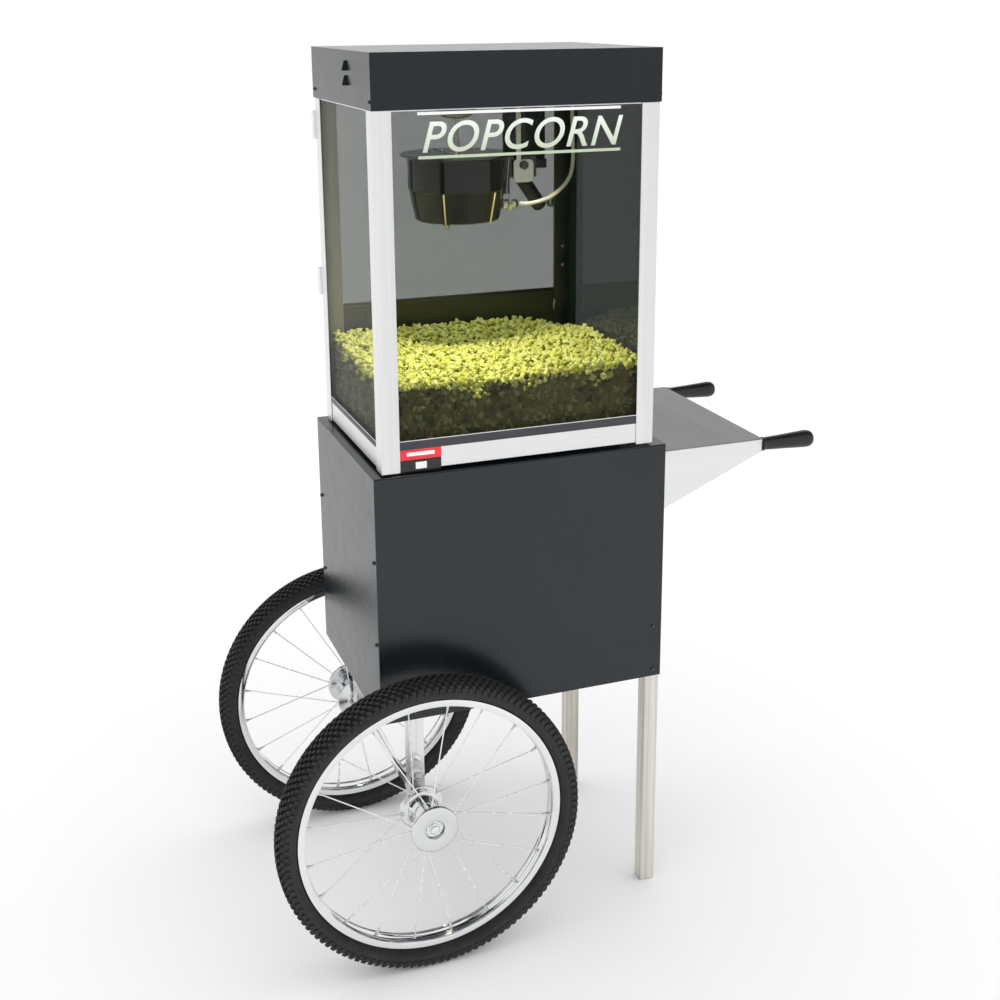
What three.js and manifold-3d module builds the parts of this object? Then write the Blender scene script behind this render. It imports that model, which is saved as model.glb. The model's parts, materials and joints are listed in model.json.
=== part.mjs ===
// A glass-sided popcorn machine on a two-wheel push cart.
// Millimetres, +Z up. Inside this file X runs from the cart's left face towards the push grips, Y from the
// cart's front face towards the operator, and Z from the ground. The exported group is moved so that its
// origin is at the middle of its own footprint, on the ground.
import * as THREE from 'three';
import { mergeVertices } from 'three/addons/utils/BufferGeometryUtils.js';
import Module from 'manifold-3d';

const wasm = await Module();
wasm.setup();

// ---- driving dimensions ------------------------------------------------------------------------------
const GAP = 0.3; // clearance between touching pieces
const SHEET = 1.5; // sheet metal thickness
const GLASS = 4; // glass thickness

const CART = { width: 500, depth: 370, low: 404, high: 822 };
const CART_FLOOR = 420; // underside of the cart's floor
const CART_TUBE_TOP = 640; // how far legs and struts reach up inside the cart
const DOORWAY = { x: [80, 440], z: [532, 788] }; // hole in the cart's rear panel
const DOOR_LAP = 9; // how far the cart door covers the edge of its doorway
const KNUCKLE = 2.5; // radius of the cart door's hinge knuckles

const LEG = { width: 26, left: 472.2, wall: 1.6, foot: 3 };
const STRUT = { width: 25, wall: 1.6, low: 228 };

const AXLE = { x: 59, z: 253, radius: 6.3, end: 88.5 }; // end: reach outside the cart's face
const TYRE = { radius: 253, halfWidth: 27 };
const RIM = { radius: 221, inner: 208, halfWidth: 15 };
const WHEEL_MIDDLE = 65; // wheel's middle plane, outside the cart's face
const HUB = { inner: 13, outer: 91, disc: 40, flange: 38.5, barrel: 20, recess: 16, bore: 6.8 };
const SPOKES_PER_FLANGE = 10;
const SPOKE_RADIUS = 1.1;
const SPOKE_LEAN = 14; // degrees that a spoke's foot is turned from its nipple

const SHELF = { end: 686, top: 809, lip: 23, margin: 3 };
const GUSSET = { low: 707, thick: 2 }; // low: its lowest point, at the cart's side
const GRIP = { length: 101, startRadius: 10.4, endRadius: 14.9, z: 797, inset: 10.5, rod: 6 };

const MACHINE = { x: [15, 478], y: [6, 354], z: [825, 1377.7] };
const POST = 30; // width of a corner post's flanges
const PAN = { low: 828, high: 861, inset: 1.8 };
const DRAWER = { x: [113, 380], front: 60, z: [832, 855.5], face: 9 };
const ROOF = { x: [14, 480], y: [4, 361], z: [1378, 1460] };
const CEILING = 1375.8; // underside of the ceiling plate
const REAR_PANEL_TOP = 1020;
const DECK_SLOTS = 9; // slots in the deck that unpopped kernels fall through

const DOOR = { x: [18, 476], y: [356, 360], z: [1022, 1374] };
const HINGE = { x: 12.5, y: 358, radius: 3.8, heights: { top: [1310, 1356], bottom: [1045, 1092] } };

const KETTLE = { x: 203, y: 180, low: 1187, shoulder: 1238, rim: 1291, radius: 79.5, foot: 69, wall: 3 };
const LID = { radius: 91, low: 1291.4, thick: 3, hinge: 187.7, hole: 6 };
const PIVOT = { x: 313, z: 1272, radius: 4.8 }; // kettle's tilting axis, along Y
const HANGER = { x: [295, 330], y: [163, 166], z: [1244, 1281], strap: [300, 308], corner: 8 };
const ARM = { y: [168, 175], x: [287, 337], z: [1252, 1286] };
const SHAFT = { radius: 4, low: 1304.2, high: 1400 };
const CONDUIT = { radius: 3.5, y: 172, fitting: 9 };

const SWITCH = { x: { kettle: 360, light: 396 }, width: 22, z: [1405, 1435], tilt: 8 };
const INLET = { x: 80, z: 1400 };
const LAMP = { x: 156, y: 42 };
const HEAP = { low: 863.6, level: 968 };

const ROUND = 24; // segments round a small turned piece
const WHEEL_ROUND = 48; // segments round a tyre or rim; a multiple of 4, so one corner is lowest

// ---- materials ---------------------------------------------------------------------------------------
function material(color, roughness, metalness) {
  return new THREE.MeshStandardMaterial({ color, roughness, metalness });
}

const BLACK_SHEET = material(0x3a3d40, 0.45, 0.2);
const STAINLESS = material(0xd6d6d2, 0.35, 0.9);
const CHROME = material(0xe4e6e8, 0.12, 1);
const TYRE_RUBBER = material(0x222222, 0.85, 0);
const GRIP_RUBBER = material(0x1e1c20, 0.5, 0);
const TINTED_GLASS = material(0x707a70, 0.05, 0);
const KETTLE_STEEL = material(0x2c2622, 0.25, 0.7);
const BLACK_PLASTIC = material(0x141414, 0.4, 0);
const MOTOR_METAL = material(0x8c8f92, 0.5, 0.8);
const LAMP_GLASS = material(0xfff2cc, 0.3, 0);
const POPCORN = material(0xe8dc6a, 0.8, 0);

// ---- solids ------------------------------------------------------------------------------------------
function signedVolume(position, index) {
  const a = new THREE.Vector3();
  const b = new THREE.Vector3();
  const c = new THREE.Vector3();
  let volume = 0;
  for (let i = 0; i < index.length; i += 3) {
    a.fromBufferAttribute(position, index[i]);
    b.fromBufferAttribute(position, index[i + 1]);
    c.fromBufferAttribute(position, index[i + 2]);
    volume += a.dot(b.cross(c));
  }
  return volume;
}

// Merges shared corners, drops triangles with no area and turns the faces outwards.
function closed(geometry) {
  geometry.deleteAttribute('normal');
  geometry.deleteAttribute('uv');
  geometry.clearGroups();
  const merged = mergeVertices(geometry, 1e-4);
  const kept = [];
  const all = merged.index.array;
  for (let i = 0; i < all.length; i += 3) {
    const [a, b, c] = [all[i], all[i + 1], all[i + 2]];
    if (a !== b && b !== c && c !== a) kept.push(a, b, c);
  }
  if (signedVolume(merged.attributes.position, kept) < 0) kept.reverse();
  merged.setIndex(kept);
  return merged;
}

function solid(geometry) {
  const shape = closed(geometry);
  const mesh = new wasm.Mesh({
    numProp: 3,
    vertProperties: new Float32Array(shape.attributes.position.array),
    triVerts: new Uint32Array(shape.index.array),
  });
  return new wasm.Manifold(mesh);
}

function fromSolid(manifold) {
  const mesh = manifold.getMesh();
  const geometry = new THREE.BufferGeometry();
  geometry.setAttribute('position', new THREE.BufferAttribute(mesh.vertProperties, 3));
  geometry.setIndex([...mesh.triVerts]);
  return geometry;
}

function join(first, ...others) {
  return fromSolid(others.reduce((sum, other) => sum.add(solid(other)), solid(first)));
}

function cut(first, ...others) {
  return fromSolid(others.reduce((rest, other) => rest.subtract(solid(other)), solid(first)));
}

function block([x0, x1], [y0, y1], [z0, z1]) {
  const geometry = new THREE.BoxGeometry(x1 - x0, y1 - y0, z1 - z0);
  return geometry.translate((x0 + x1) / 2, (y0 + y1) / 2, (z0 + z1) / 2);
}

// Turns a shape drawn in X and Y, and extruded along Z, so that its extrusion runs along the named axis:
// along x the outline's pairs are (y, z), along y they are (x, z), and along z they are (x, y).
const TURNS = {
  x: new THREE.Matrix4().makeBasis(
    new THREE.Vector3(0, 1, 0), new THREE.Vector3(0, 0, 1), new THREE.Vector3(1, 0, 0)),
  y: new THREE.Matrix4().makeBasis(
    new THREE.Vector3(1, 0, 0), new THREE.Vector3(0, 0, 1), new THREE.Vector3(0, -1, 0)),
  z: new THREE.Matrix4(),
};

function extrude(shape, axis, [low, high]) {
  const geometry = new THREE.ExtrudeGeometry(shape, { depth: high - low, bevelEnabled: false, curveSegments: 6 });
  geometry.applyMatrix4(TURNS[axis]);
  const shift = { x: [low, 0, 0], y: [0, high, 0], z: [0, 0, low] }[axis];
  return geometry.translate(...shift);
}

function polygon(points) {
  return new THREE.Shape(points.map(([u, v]) => new THREE.Vector2(u, v)));
}

function prism(points, axis, range) {
  return extrude(polygon(points), axis, range);
}

// A turned piece. Its profile is a list of (radius, height) pairs, and its axis passes through centre.
function turned(profile, axis, centre, segments = ROUND) {
  const ends = profile[0][0] === 0 ? [] : [profile[0]];
  const points = [...profile, ...ends].map(([r, h]) => new THREE.Vector2(r, h));
  const geometry = new THREE.LatheGeometry(points, segments);
  if (axis === 'z') geometry.rotateX(Math.PI / 2);
  if (axis === 'x') geometry.rotateZ(-Math.PI / 2);
  return geometry.translate(...centre);
}

function rod(axis, radius, [low, high], centre, segments = ROUND) {
  return turned([[0, low], [radius, low], [radius, high], [0, high]], axis, centre, segments);
}

// Moves a piece that stands on the Y axis, centred on the origin, to lie between two points.
function between(from, to, geometry) {
  const start = new THREE.Vector3(...from);
  const run = new THREE.Vector3(...to).sub(start);
  const middle = start.addScaledVector(run, 0.5);
  geometry.applyQuaternion(
    new THREE.Quaternion().setFromUnitVectors(new THREE.Vector3(0, 1, 0), run.normalize()));
  return geometry.translate(middle.x, middle.y, middle.z);
}

// A round bar between two points.
function bar(from, to, radius, segments) {
  const length = Math.hypot(to[0] - from[0], to[1] - from[1], to[2] - from[2]);
  return between(from, to, new THREE.CylinderGeometry(radius, radius, length, segments));
}

const machine = new THREE.Group();

function add(name, geometry, look) {
  const mesh = new THREE.Mesh(closed(geometry), look);
  mesh.name = name;
  machine.add(mesh);
}

// ---- cart body ---------------------------------------------------------------------------------------
function addCartBody() {
  const { width, depth, low, high } = CART;
  const wall = [low, high - SHEET - GAP];
  const inner = SHEET + GAP;
  const fold = 20;

  const front = [
    [0, 0], [width, 0], [width, SHEET], [inner + SHEET, SHEET],
    [inner + SHEET, fold], [inner, fold], [inner, SHEET], [0, SHEET],
  ];
  add('cart_front_panel', prism(front, 'z', wall), BLACK_SHEET);

  const side = [inner, depth - inner];
  add('cart_left_panel', block([0, SHEET], side, wall), BLACK_SHEET);
  add('cart_right_panel', block([width - SHEET, width], side, wall), BLACK_SHEET);
  add('cart_top_deck', block([0, width], [0, depth], [high - SHEET, high]), BLACK_SHEET);

  const rear = block([0, width], [depth - SHEET, depth], wall);
  const doorway = block(DOORWAY.x, [depth - 10, depth + 10], DOORWAY.z);
  add('cart_rear_panel', cut(rear, doorway), BLACK_SHEET);

  const floor = block([inner + SHEET + GAP, width - inner], side, [CART_FLOOR, CART_FLOOR + SHEET]);
  const notches = [LEG_X, STRUT_X].flatMap((x) => tubeDepths(x).map((y) => (
    block([x[0] - GAP, x[1] + GAP], [y[0] - 2 * GAP, y[1] + 2 * GAP], [CART_FLOOR - 5, CART_FLOOR + 5]))));
  add('cart_floor', cut(floor, ...notches), BLACK_SHEET);
}

function addCartDoor() {
  const face = [CART.depth + GAP, CART.depth + GAP + SHEET];
  const x = [DOORWAY.x[0] - DOOR_LAP, DOORWAY.x[1] + DOOR_LAP];
  const z = [DOORWAY.z[0] - DOOR_LAP, DOORWAY.z[1] + DOOR_LAP];
  const knuckles = [z[0] + 30, z[1] - 80].map((low) => (
    rod('z', KNUCKLE, [low, low + 50], [x[0] - KNUCKLE + 0.5, face[0] + KNUCKLE, 0], 12)));
  add('cart_door', join(block(x, face, z), ...knuckles), BLACK_SHEET);
  add('cart_door_knob', knob([x[1] - 22, face[1] + GAP, (z[0] + z[1]) / 2], 11, 20), CHROME);
}

// A turned knob that stands out along +Y from its foot.
function knob(foot, radius, length) {
  const profile = [
    [0, 0], [radius * 0.5, 0], [radius * 0.45, length * 0.45], [radius, length * 0.65],
    [radius, length * 0.9], [radius * 0.7, length], [0, length],
  ];
  return turned(profile, 'y', foot, 20);
}

// ---- legs, struts and axle ---------------------------------------------------------------------------
const LEG_X = [LEG.left, LEG.left + LEG.width];
const STRUT_X = [AXLE.x - STRUT.width / 2, AXLE.x + STRUT.width / 2];

// Where a square tube stands against the front panel, and where against the rear one.
function tubeDepths([left, right]) {
  const width = right - left;
  const inner = SHEET + 0.5;
  return [[inner, inner + width], [CART.depth - inner - width, CART.depth - inner]];
}

function addLegs() {
  ['leg_front', 'leg_rear'].forEach((name, i) => {
    const y = tubeDepths(LEG_X)[i];
    const outer = block(LEG_X, y, [0, CART_TUBE_TOP]);
    const hollow = block(
      [LEG_X[0] + LEG.wall, LEG_X[1] - LEG.wall],
      [y[0] + LEG.wall, y[1] - LEG.wall],
      [LEG.foot, CART_TUBE_TOP + 1]);
    add(name, cut(outer, hollow), STAINLESS);
  });
}

function addAxle() {
  ['axle_strut_front', 'axle_strut_rear'].forEach((name, i) => {
    const y = tubeDepths(STRUT_X)[i];
    const outer = block(STRUT_X, y, [STRUT.low, CART_TUBE_TOP]);
    const hollow = block(
      [STRUT_X[0] + STRUT.wall, STRUT_X[1] - STRUT.wall],
      [y[0] + STRUT.wall, y[1] - STRUT.wall],
      [STRUT.low - 1, CART_TUBE_TOP + 1]);
    const bore = rod('y', HUB.bore, [y[0] - 1, y[1] + 1], [AXLE.x, 0, AXLE.z]);
    add(name, cut(outer, hollow, bore), STAINLESS);
  });
  add('axle', rod('y', AXLE.radius, [-AXLE.end, CART.depth + AXLE.end], [AXLE.x, 0, AXLE.z], 16), CHROME);
}

// ---- wheels ------------------------------------------------------------------------------------------
// A wheel outside one of the cart's faces. face is that face's Y and out is -1 in front or 1 behind.
function addWheel(end, face, out) {
  const at = [AXLE.x, face, AXLE.z];
  const ring = (profile, segments) => turned(profile.map(([r, t]) => [r, out * t]), 'y', at, segments);
  const mirrored = (half) => [...half, ...half.map(([r, s]) => [r, -s]).reverse()]
    .map(([r, s]) => [r, s + WHEEL_MIDDLE]);

  const { radius, halfWidth } = TYRE;
  const tread = mirrored([
    [RIM.inner + 5, 9.5], [RIM.radius + 1, 11.5], [RIM.radius + 2.5, 17], [radius - 22, halfWidth - 0.5],
    [radius - 11, halfWidth], [radius - 4, halfWidth - 4], [radius, halfWidth - 13],
  ]);
  add(`tyre_${end}`, ring(tread, WHEEL_ROUND), TYRE_RUBBER);

  const channel = mirrored([
    [RIM.inner, RIM.halfWidth - 2], [RIM.inner + 3, RIM.halfWidth], [RIM.radius, RIM.halfWidth],
    [RIM.radius, RIM.halfWidth - 2.5], [RIM.inner + 4.5, RIM.halfWidth - 4],
  ]);
  add(`rim_${end}`, ring(channel, WHEEL_ROUND), CHROME);

  const body = ring([
    [HUB.bore, HUB.inner], [19, HUB.inner], [19, 16], [HUB.flange, 16], [HUB.flange, 19], [21, 21],
    [HUB.barrel, 30], [HUB.barrel, 70], [24, 82], [HUB.disc - 2, 83], [HUB.disc, 85], [HUB.disc, 89],
    [HUB.disc - 2, HUB.outer], [HUB.recess, HUB.outer], [HUB.recess, 83], [HUB.bore, 83],
  ], ROUND);
  add(`hub_${end}`, join(body, ...spokes(face, out)), CHROME);

  const nut = [
    [0, HUB.outer + 2], [4, HUB.outer + 2], [9, HUB.outer - 2], [9.5, 84.5],
    [AXLE.radius + 0.4, 84.5], [AXLE.radius + 0.4, AXLE.end + 0.5], [0, AXLE.end + 0.5],
  ];
  add(`axle_nut_${end}`, ring(nut, 12), CHROME);
}

function spokes(face, out) {
  const point = (radius, degrees, reach) => {
    const angle = THREE.MathUtils.degToRad(degrees);
    return [AXLE.x + radius * Math.cos(angle), face + out * reach, AXLE.z + radius * Math.sin(angle)];
  };
  const all = [];
  for (let i = 0; i < 2 * SPOKES_PER_FLANGE; i += 1) {
    const outerFlange = i % 2 === 0;
    const nipple = (i + 0.5) * 180 / SPOKES_PER_FLANGE;
    const lean = (i % 4 < 2 ? 1 : -1) * SPOKE_LEAN;
    const foot = outerFlange ? point(35, nipple + lean, 86) : point(33, nipple + lean, 17.5);
    const tip = point(RIM.inner - 0.8, nipple, WHEEL_MIDDLE + (outerFlange ? 3 : -3));
    all.push(bar(foot, tip, SPOKE_RADIUS, 4));
  }
  return all;
}

// ---- push end ----------------------------------------------------------------------------------------
function addPushEnd() {
  const { end, top, lip, margin } = SHELF;
  const near = CART.width + GAP;
  const profile = [
    [near, top - SHEET], [end - SHEET, top - SHEET], [end - SHEET, top - lip],
    [end, top - lip], [end, top], [near, top],
  ];
  const rodsY = [GRIP.inset, CART.depth - GRIP.inset];
  const holes = rodsY.map((y) => rod('x', GRIP.rod + 0.5, [end - 10, end + 10], [0, y, GRIP.z], 16));
  const shelf = prism(profile, 'y', [margin, CART.depth - margin]);
  add('push_shelf', cut(shelf, ...holes), STAINLESS);

  const under = top - SHEET - GAP;
  const plateEnd = end - SHEET - GAP;
  const web = [[near, GUSSET.low], [plateEnd, top - lip], [plateEnd, under], [near, under]];
  ['front', 'rear'].forEach((side, i) => {
    const flip = (y0, y1) => (i === 0 ? [y0, y1] : [CART.depth - y1, CART.depth - y0]);
    const plate = prism(web, 'y', flip(margin, margin + GUSSET.thick));
    const flange = block([near, near + SHEET], flip(margin, margin + 18), [GUSSET.low, under]);
    const stub = rod('x', GRIP.rod, [end - 130, end + GRIP.length - 20], [0, rodsY[i], GRIP.z], 16);
    add(`push_gusset_${side}`, join(plate, flange, stub), STAINLESS);

    const start = end + 1;
    const tip = end + GRIP.length;
    const grip = [
      [GRIP.rod + 0.4, start], [GRIP.startRadius, start], [GRIP.endRadius, tip - 18],
      [GRIP.endRadius - 0.8, tip - 9], [GRIP.endRadius - 4.5, tip - 2], [0, tip],
      [0, tip - 19], [GRIP.rod + 0.4, tip - 19],
    ];
    add(`grip_${side}`, turned(grip, 'x', [0, rodsY[i], GRIP.z]), GRIP_RUBBER);
  });
}

// ---- cabinet -----------------------------------------------------------------------------------------
function addPosts() {
  const [x0, x1] = MACHINE.x;
  const [y0, y1] = MACHINE.y;
  const angle = [[0, 0], [POST, 0], [POST, SHEET], [SHEET, SHEET], [SHEET, POST], [0, POST]];
  const corners = {
    post_front_left: [x0, y0, 1, 1],
    post_front_right: [x1, y0, -1, 1],
    post_rear_left: [x0, y1, 1, -1],
    post_rear_right: [x1, y1, -1, -1],
  };
  Object.entries(corners).forEach(([name, [x, y, right, back]]) => {
    const outline = angle.map(([u, v]) => [x + right * u, y + back * v]);
    add(name, prism(outline, 'z', MACHINE.z), STAINLESS);
  });
}

function addBase() {
  const x = [MACHINE.x[0] + PAN.inset, MACHINE.x[1] - PAN.inset];
  const y = [MACHINE.y[0] + PAN.inset, MACHINE.y[1] - PAN.inset];
  const outer = block(x, y, [PAN.low, PAN.high]);
  const inside = block(
    [x[0] + SHEET, x[1] - SHEET], [y[0] + SHEET, y[1] - SHEET], [PAN.low + SHEET, PAN.high + 1]);
  const drawerHole = block(
    [DRAWER.x[0] - 1, DRAWER.x[1] + 1], [y[1] - 5, y[1] + 5], [DRAWER.z[0] - 1, DRAWER.z[1] + 1]);
  const feet = [x[0] + 35, x[1] - 35].flatMap((cx) => [y[0] + 35, y[1] - 35].map((cy) => (
    rod('z', 12, [CART.high + GAP, PAN.low + 1], [cx, cy, 0], 12))));
  const tray = cut(outer, inside, drawerHole);
  add('base_pan', join(tray, ...feet), STAINLESS);

  const deck = block(x, y, [PAN.high + GAP, PAN.high + GAP + SHEET]);
  const slots = [];
  for (let i = 0; i < DECK_SLOTS; i += 1) {
    const left = DRAWER.x[0] + 16 + i * 28;
    slots.push(block([left, left + 5], [90, 330], [PAN.high - 5, PAN.high + 5]));
  }
  add('deck_screen', cut(deck, ...slots), STAINLESS);
}

function addDrawer() {
  const { x, front, z, face } = DRAWER;
  const faceY = MACHINE.y[1] - PAN.inset + GAP;
  const tray = cut(
    block(x, [front, faceY + 0.5], z),
    block([x[0] + SHEET, x[1] - SHEET], [front + SHEET, faceY], [z[0] + SHEET, z[1] + 1]));
  const plate = block([x[0] - face, x[1] + face], [faceY, faceY + SHEET], [z[0] - 2, z[1] + 3]);
  const middle = (x[0] + x[1]) / 2;
  const pull = block([middle - 50, middle + 50], [faceY, faceY + 14], [z[1] + 1.5, z[1] + 3]);
  add('kernel_drawer', join(tray, plate, pull), STAINLESS);
}

function addGlass() {
  const z = [PAN.high + GAP + SHEET + 0.5, CEILING - GAP];
  const inset = SHEET + 0.5;
  const x = [MACHINE.x[0] + inset, MACHINE.x[1] - inset];
  const y = [MACHINE.y[0] + inset, MACHINE.y[1] - inset];
  const inner = [x[0] + GLASS + 0.5, x[1] - GLASS - 0.5];
  const sides = [y[0], y[1] - SHEET - GAP];
  add('front_glass', block(inner, [y[0], y[0] + GLASS], z), TINTED_GLASS);
  add('left_glass', block([x[0], x[0] + GLASS], sides, z), TINTED_GLASS);
  add('right_glass', block([x[1] - GLASS, x[1]], sides, z), TINTED_GLASS);
  add('rear_lower_panel', block(inner, [y[1] - SHEET, y[1]], [z[0], REAR_PANEL_TOP]), STAINLESS);
}

function addDoor() {
  add('door_glass', block(DOOR.x, DOOR.y, DOOR.z), TINTED_GLASS);
  add('door_knob', knob([DOOR.x[1] - 26, DOOR.y[1] + GAP, 1180], 12, 24), CHROME);
  const leaf = [DOOR.x[0] - GAP, DOOR.x[0] + 26];
  const jaws = [[MACHINE.y[1] + GAP, DOOR.y[0] - GAP], [DOOR.y[1] + GAP, DOOR.y[1] + GAP + SHEET]];
  Object.entries(HINGE.heights).forEach(([name, z]) => {
    const barrel = rod('z', HINGE.radius, z, [HINGE.x, HINGE.y, 0], 12);
    const web = block([HINGE.x, DOOR.x[0] - GAP], [jaws[0][0], jaws[1][1]], z);
    const plates = jaws.map((y) => block([leaf[0] - 0.5, leaf[1]], y, z));
    add(`door_hinge_${name}`, join(barrel, web, ...plates), CHROME);
  });
}

function addRoof() {
  const { x, y, z } = ROOF;
  const outer = block(x, y, z);
  const inside = block([x[0] + SHEET, x[1] - SHEET], [y[0] + SHEET, y[1] - SHEET], [z[0] - 1, z[1] - SHEET]);
  const windows = Object.values(SWITCH.x).map((left) => (
    block([left, left + SWITCH.width], [y[1] - 10, y[1] + 10], SWITCH.z)));
  const cableHole = rod('y', 8, [y[1] - 10, y[1] + 10], [INLET.x, 0, INLET.z], 16);
  const scoops = [1431, 1409].map((low) => ventScoop(138, low));
  add('roof_cover', join(cut(outer, inside, ...windows, cableHole), ...scoops), BLACK_SHEET);

  const plate = block(
    [MACHINE.x[0] + 2, MACHINE.x[1] - 2], [MACHINE.y[0] + 2, MACHINE.y[1] - 2], [CEILING, CEILING + SHEET]);
  const shaftHole = rod('z', SHAFT.radius + 2, [CEILING - 5, CEILING + 5], [KETTLE.x, KETTLE.y, 0], 16);
  add('ceiling_plate', cut(plate, shaftHole), STAINLESS);
}

// A pressed scoop on the roof's left wall: a pointed hood that is deepest at its front edge.
function ventScoop(frontY, low) {
  const x = ROOF.x[0] + 0.5;
  const corners = [[x, frontY, low], [x, frontY, low + 13], [x - 5, frontY, low + 3], [x, frontY + 17, low + 5]];
  const geometry = new THREE.BufferGeometry();
  geometry.setAttribute('position', new THREE.Float32BufferAttribute(corners.flat(), 3));
  geometry.setAttribute('normal', new THREE.Float32BufferAttribute(new Array(12).fill(0), 3));
  geometry.setIndex([0, 1, 2, 0, 2, 3, 0, 3, 1, 1, 3, 2]);
  return geometry;
}

function addRoofFittings() {
  const motor = [
    [SHAFT.radius + 0.5, CEILING + SHEET + GAP], [38, CEILING + SHEET + GAP], [38, SHAFT.high],
    [30, SHAFT.high + 2], [30, 1440], [0, 1440], [0, SHAFT.high + 2], [SHAFT.radius + 0.5, SHAFT.high + 2],
  ];
  add('stir_motor', turned(motor, 'z', [KETTLE.x, KETTLE.y, 0]), MOTOR_METAL);

  const lamp = [[0, CEILING - 16], [18, CEILING - 15], [28, CEILING - 8], [30, CEILING - GAP], [0, CEILING - GAP]];
  add('lamp', turned(lamp, 'z', [LAMP.x, LAMP.y, 0]), LAMP_GLASS);

  const wallOut = ROOF.y[1];
  const gland = [
    [0, -9], [7.5, -9], [7.5, GAP], [14, GAP], [14, 4], [9, 5], [9, 19], [4.5, 19], [4.5, 5], [0, 5],
  ];
  add('power_inlet', turned(gland, 'y', [INLET.x, wallOut, INLET.z], 16), BLACK_PLASTIC);

  Object.entries(SWITCH.x).forEach(([name, left]) => {
    const half = (SWITCH.z[1] - SWITCH.z[0]) / 2 - 1.5;
    const rocker = prism([[-7, -half], [3, -half], [1, 0], [3, half], [-7, half]], 'x', [
      left + 1, left + SWITCH.width - 1]);
    rocker.rotateX(THREE.MathUtils.degToRad(-SWITCH.tilt));
    rocker.translate(0, wallOut, (SWITCH.z[0] + SWITCH.z[1]) / 2);
    add(`switch_${name}`, rocker, BLACK_PLASTIC);
  });
}

// ---- kettle ------------------------------------------------------------------------------------------
function addKettle() {
  const { x, y, low, shoulder, rim, radius, foot, wall } = KETTLE;
  const pot = [
    [0, low], [foot - 3, low], [foot, low + 2], [radius, shoulder], [radius, rim - 4], [radius + 2.5, rim - 2],
    [radius + 2.5, rim], [radius - wall, rim], [radius - wall, shoulder + 2], [foot - wall, low + 6], [0, low + 6],
  ];
  add('kettle_shell', turned(pot, 'z', [x, y, 0], 36), KETTLE_STEEL);

  const lidZ = [LID.low, LID.low + LID.thick];
  const disc = rod('z', LID.radius, lidZ, [x, y, 0], 40);
  const shaftHole = rod('z', LID.hole, [LID.low - 5, LID.low + 9], [x, y, 0], 16);
  const reach = [y - 100, y + 100];
  const high = [LID.low - 5, LID.low + 9];
  add('kettle_lid', cut(disc, shaftHole, block([x - 100, LID.hinge + GAP], reach, high)), STAINLESS);
  add('kettle_lid_flap', cut(disc, block([LID.hinge - GAP, x + 100], reach, high)), STAINLESS);

  const pad = cut(
    block([270, ARM.x[0] + 3], [ARM.y[0], 206], [1226, ARM.z[1]]),
    rod('z', radius + GAP, [shoulder, rim], [x, y, 0], 36),
    turned([[0, low], [foot + GAP, low + 2], [radius + GAP, shoulder + 1], [0, shoulder + 1]], 'z', [x, y, 0], 36));
  const lug = cut(
    block(ARM.x, ARM.y, ARM.z),
    rod('y', PIVOT.radius + 0.4, [ARM.y[0] - 1, ARM.y[1] + 1], [PIVOT.x, 0, PIVOT.z], 16));
  add('kettle_arm', join(pad, lug), KETTLE_STEEL);

  const boss = block([331, 367], [ARM.y[1] + GAP, 230], [1264, 1280]);
  const neck = bar([345, 222, 1267], [334, 222, 1238], 6, 12);
  const grip = between([331, 222, 1240], [357, 222, 1202], new THREE.CapsuleGeometry(10, 34, 4, 14));
  add('kettle_handle', join(boss, neck, grip), BLACK_PLASTIC);
}

function addHanger() {
  const [x0, x1] = HANGER.x;
  const [z0, z1] = HANGER.z;
  const [s0, s1] = HANGER.strap;
  const r = HANGER.corner;
  const outline = new THREE.Shape();
  outline.moveTo(x0 + r, z0);
  outline.lineTo(x1 - r, z0);
  outline.absarc(x1 - r, z0 + r, r, -Math.PI / 2, 0);
  outline.lineTo(x1, z1 - r);
  outline.absarc(x1 - r, z1 - r, r, 0, Math.PI / 2);
  outline.lineTo(s1, z1);
  outline.lineTo(s1, CEILING - 2);
  outline.lineTo(s0, CEILING - 2);
  outline.lineTo(s0, z1);
  outline.lineTo(x0 + 4, z1);
  outline.absarc(x0 + 4, z1 - 4, 4, Math.PI / 2, Math.PI);
  outline.lineTo(x0, z0 + r);
  outline.absarc(x0 + r, z0 + r, r, Math.PI, Math.PI * 1.5);
  const middle = (HANGER.y[0] + HANGER.y[1]) / 2;
  const foot = block([s0 - 12, s1 + 12], [middle - 16, middle + 16], [CEILING - 2.5, CEILING - GAP]);
  const hole = rod('y', PIVOT.radius + GAP, [HANGER.y[0] - 1, HANGER.y[1] + 1], [PIVOT.x, 0, PIVOT.z], 16);
  add('kettle_hanger', cut(join(extrude(outline, 'y', HANGER.y), foot), hole), STAINLESS);

  const [near, far] = [HANGER.y[0] - GAP, ARM.y[1] + GAP];
  const bolt = [
    [0, near - 5], [8, near - 5], [8, near], [PIVOT.radius, near], [PIVOT.radius, far], [8, far],
    [8, far + 6], [0, far + 6],
  ];
  add('kettle_pivot_bolt', turned(bolt, 'y', [PIVOT.x, 0, PIVOT.z], 16), CHROME);
}

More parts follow.
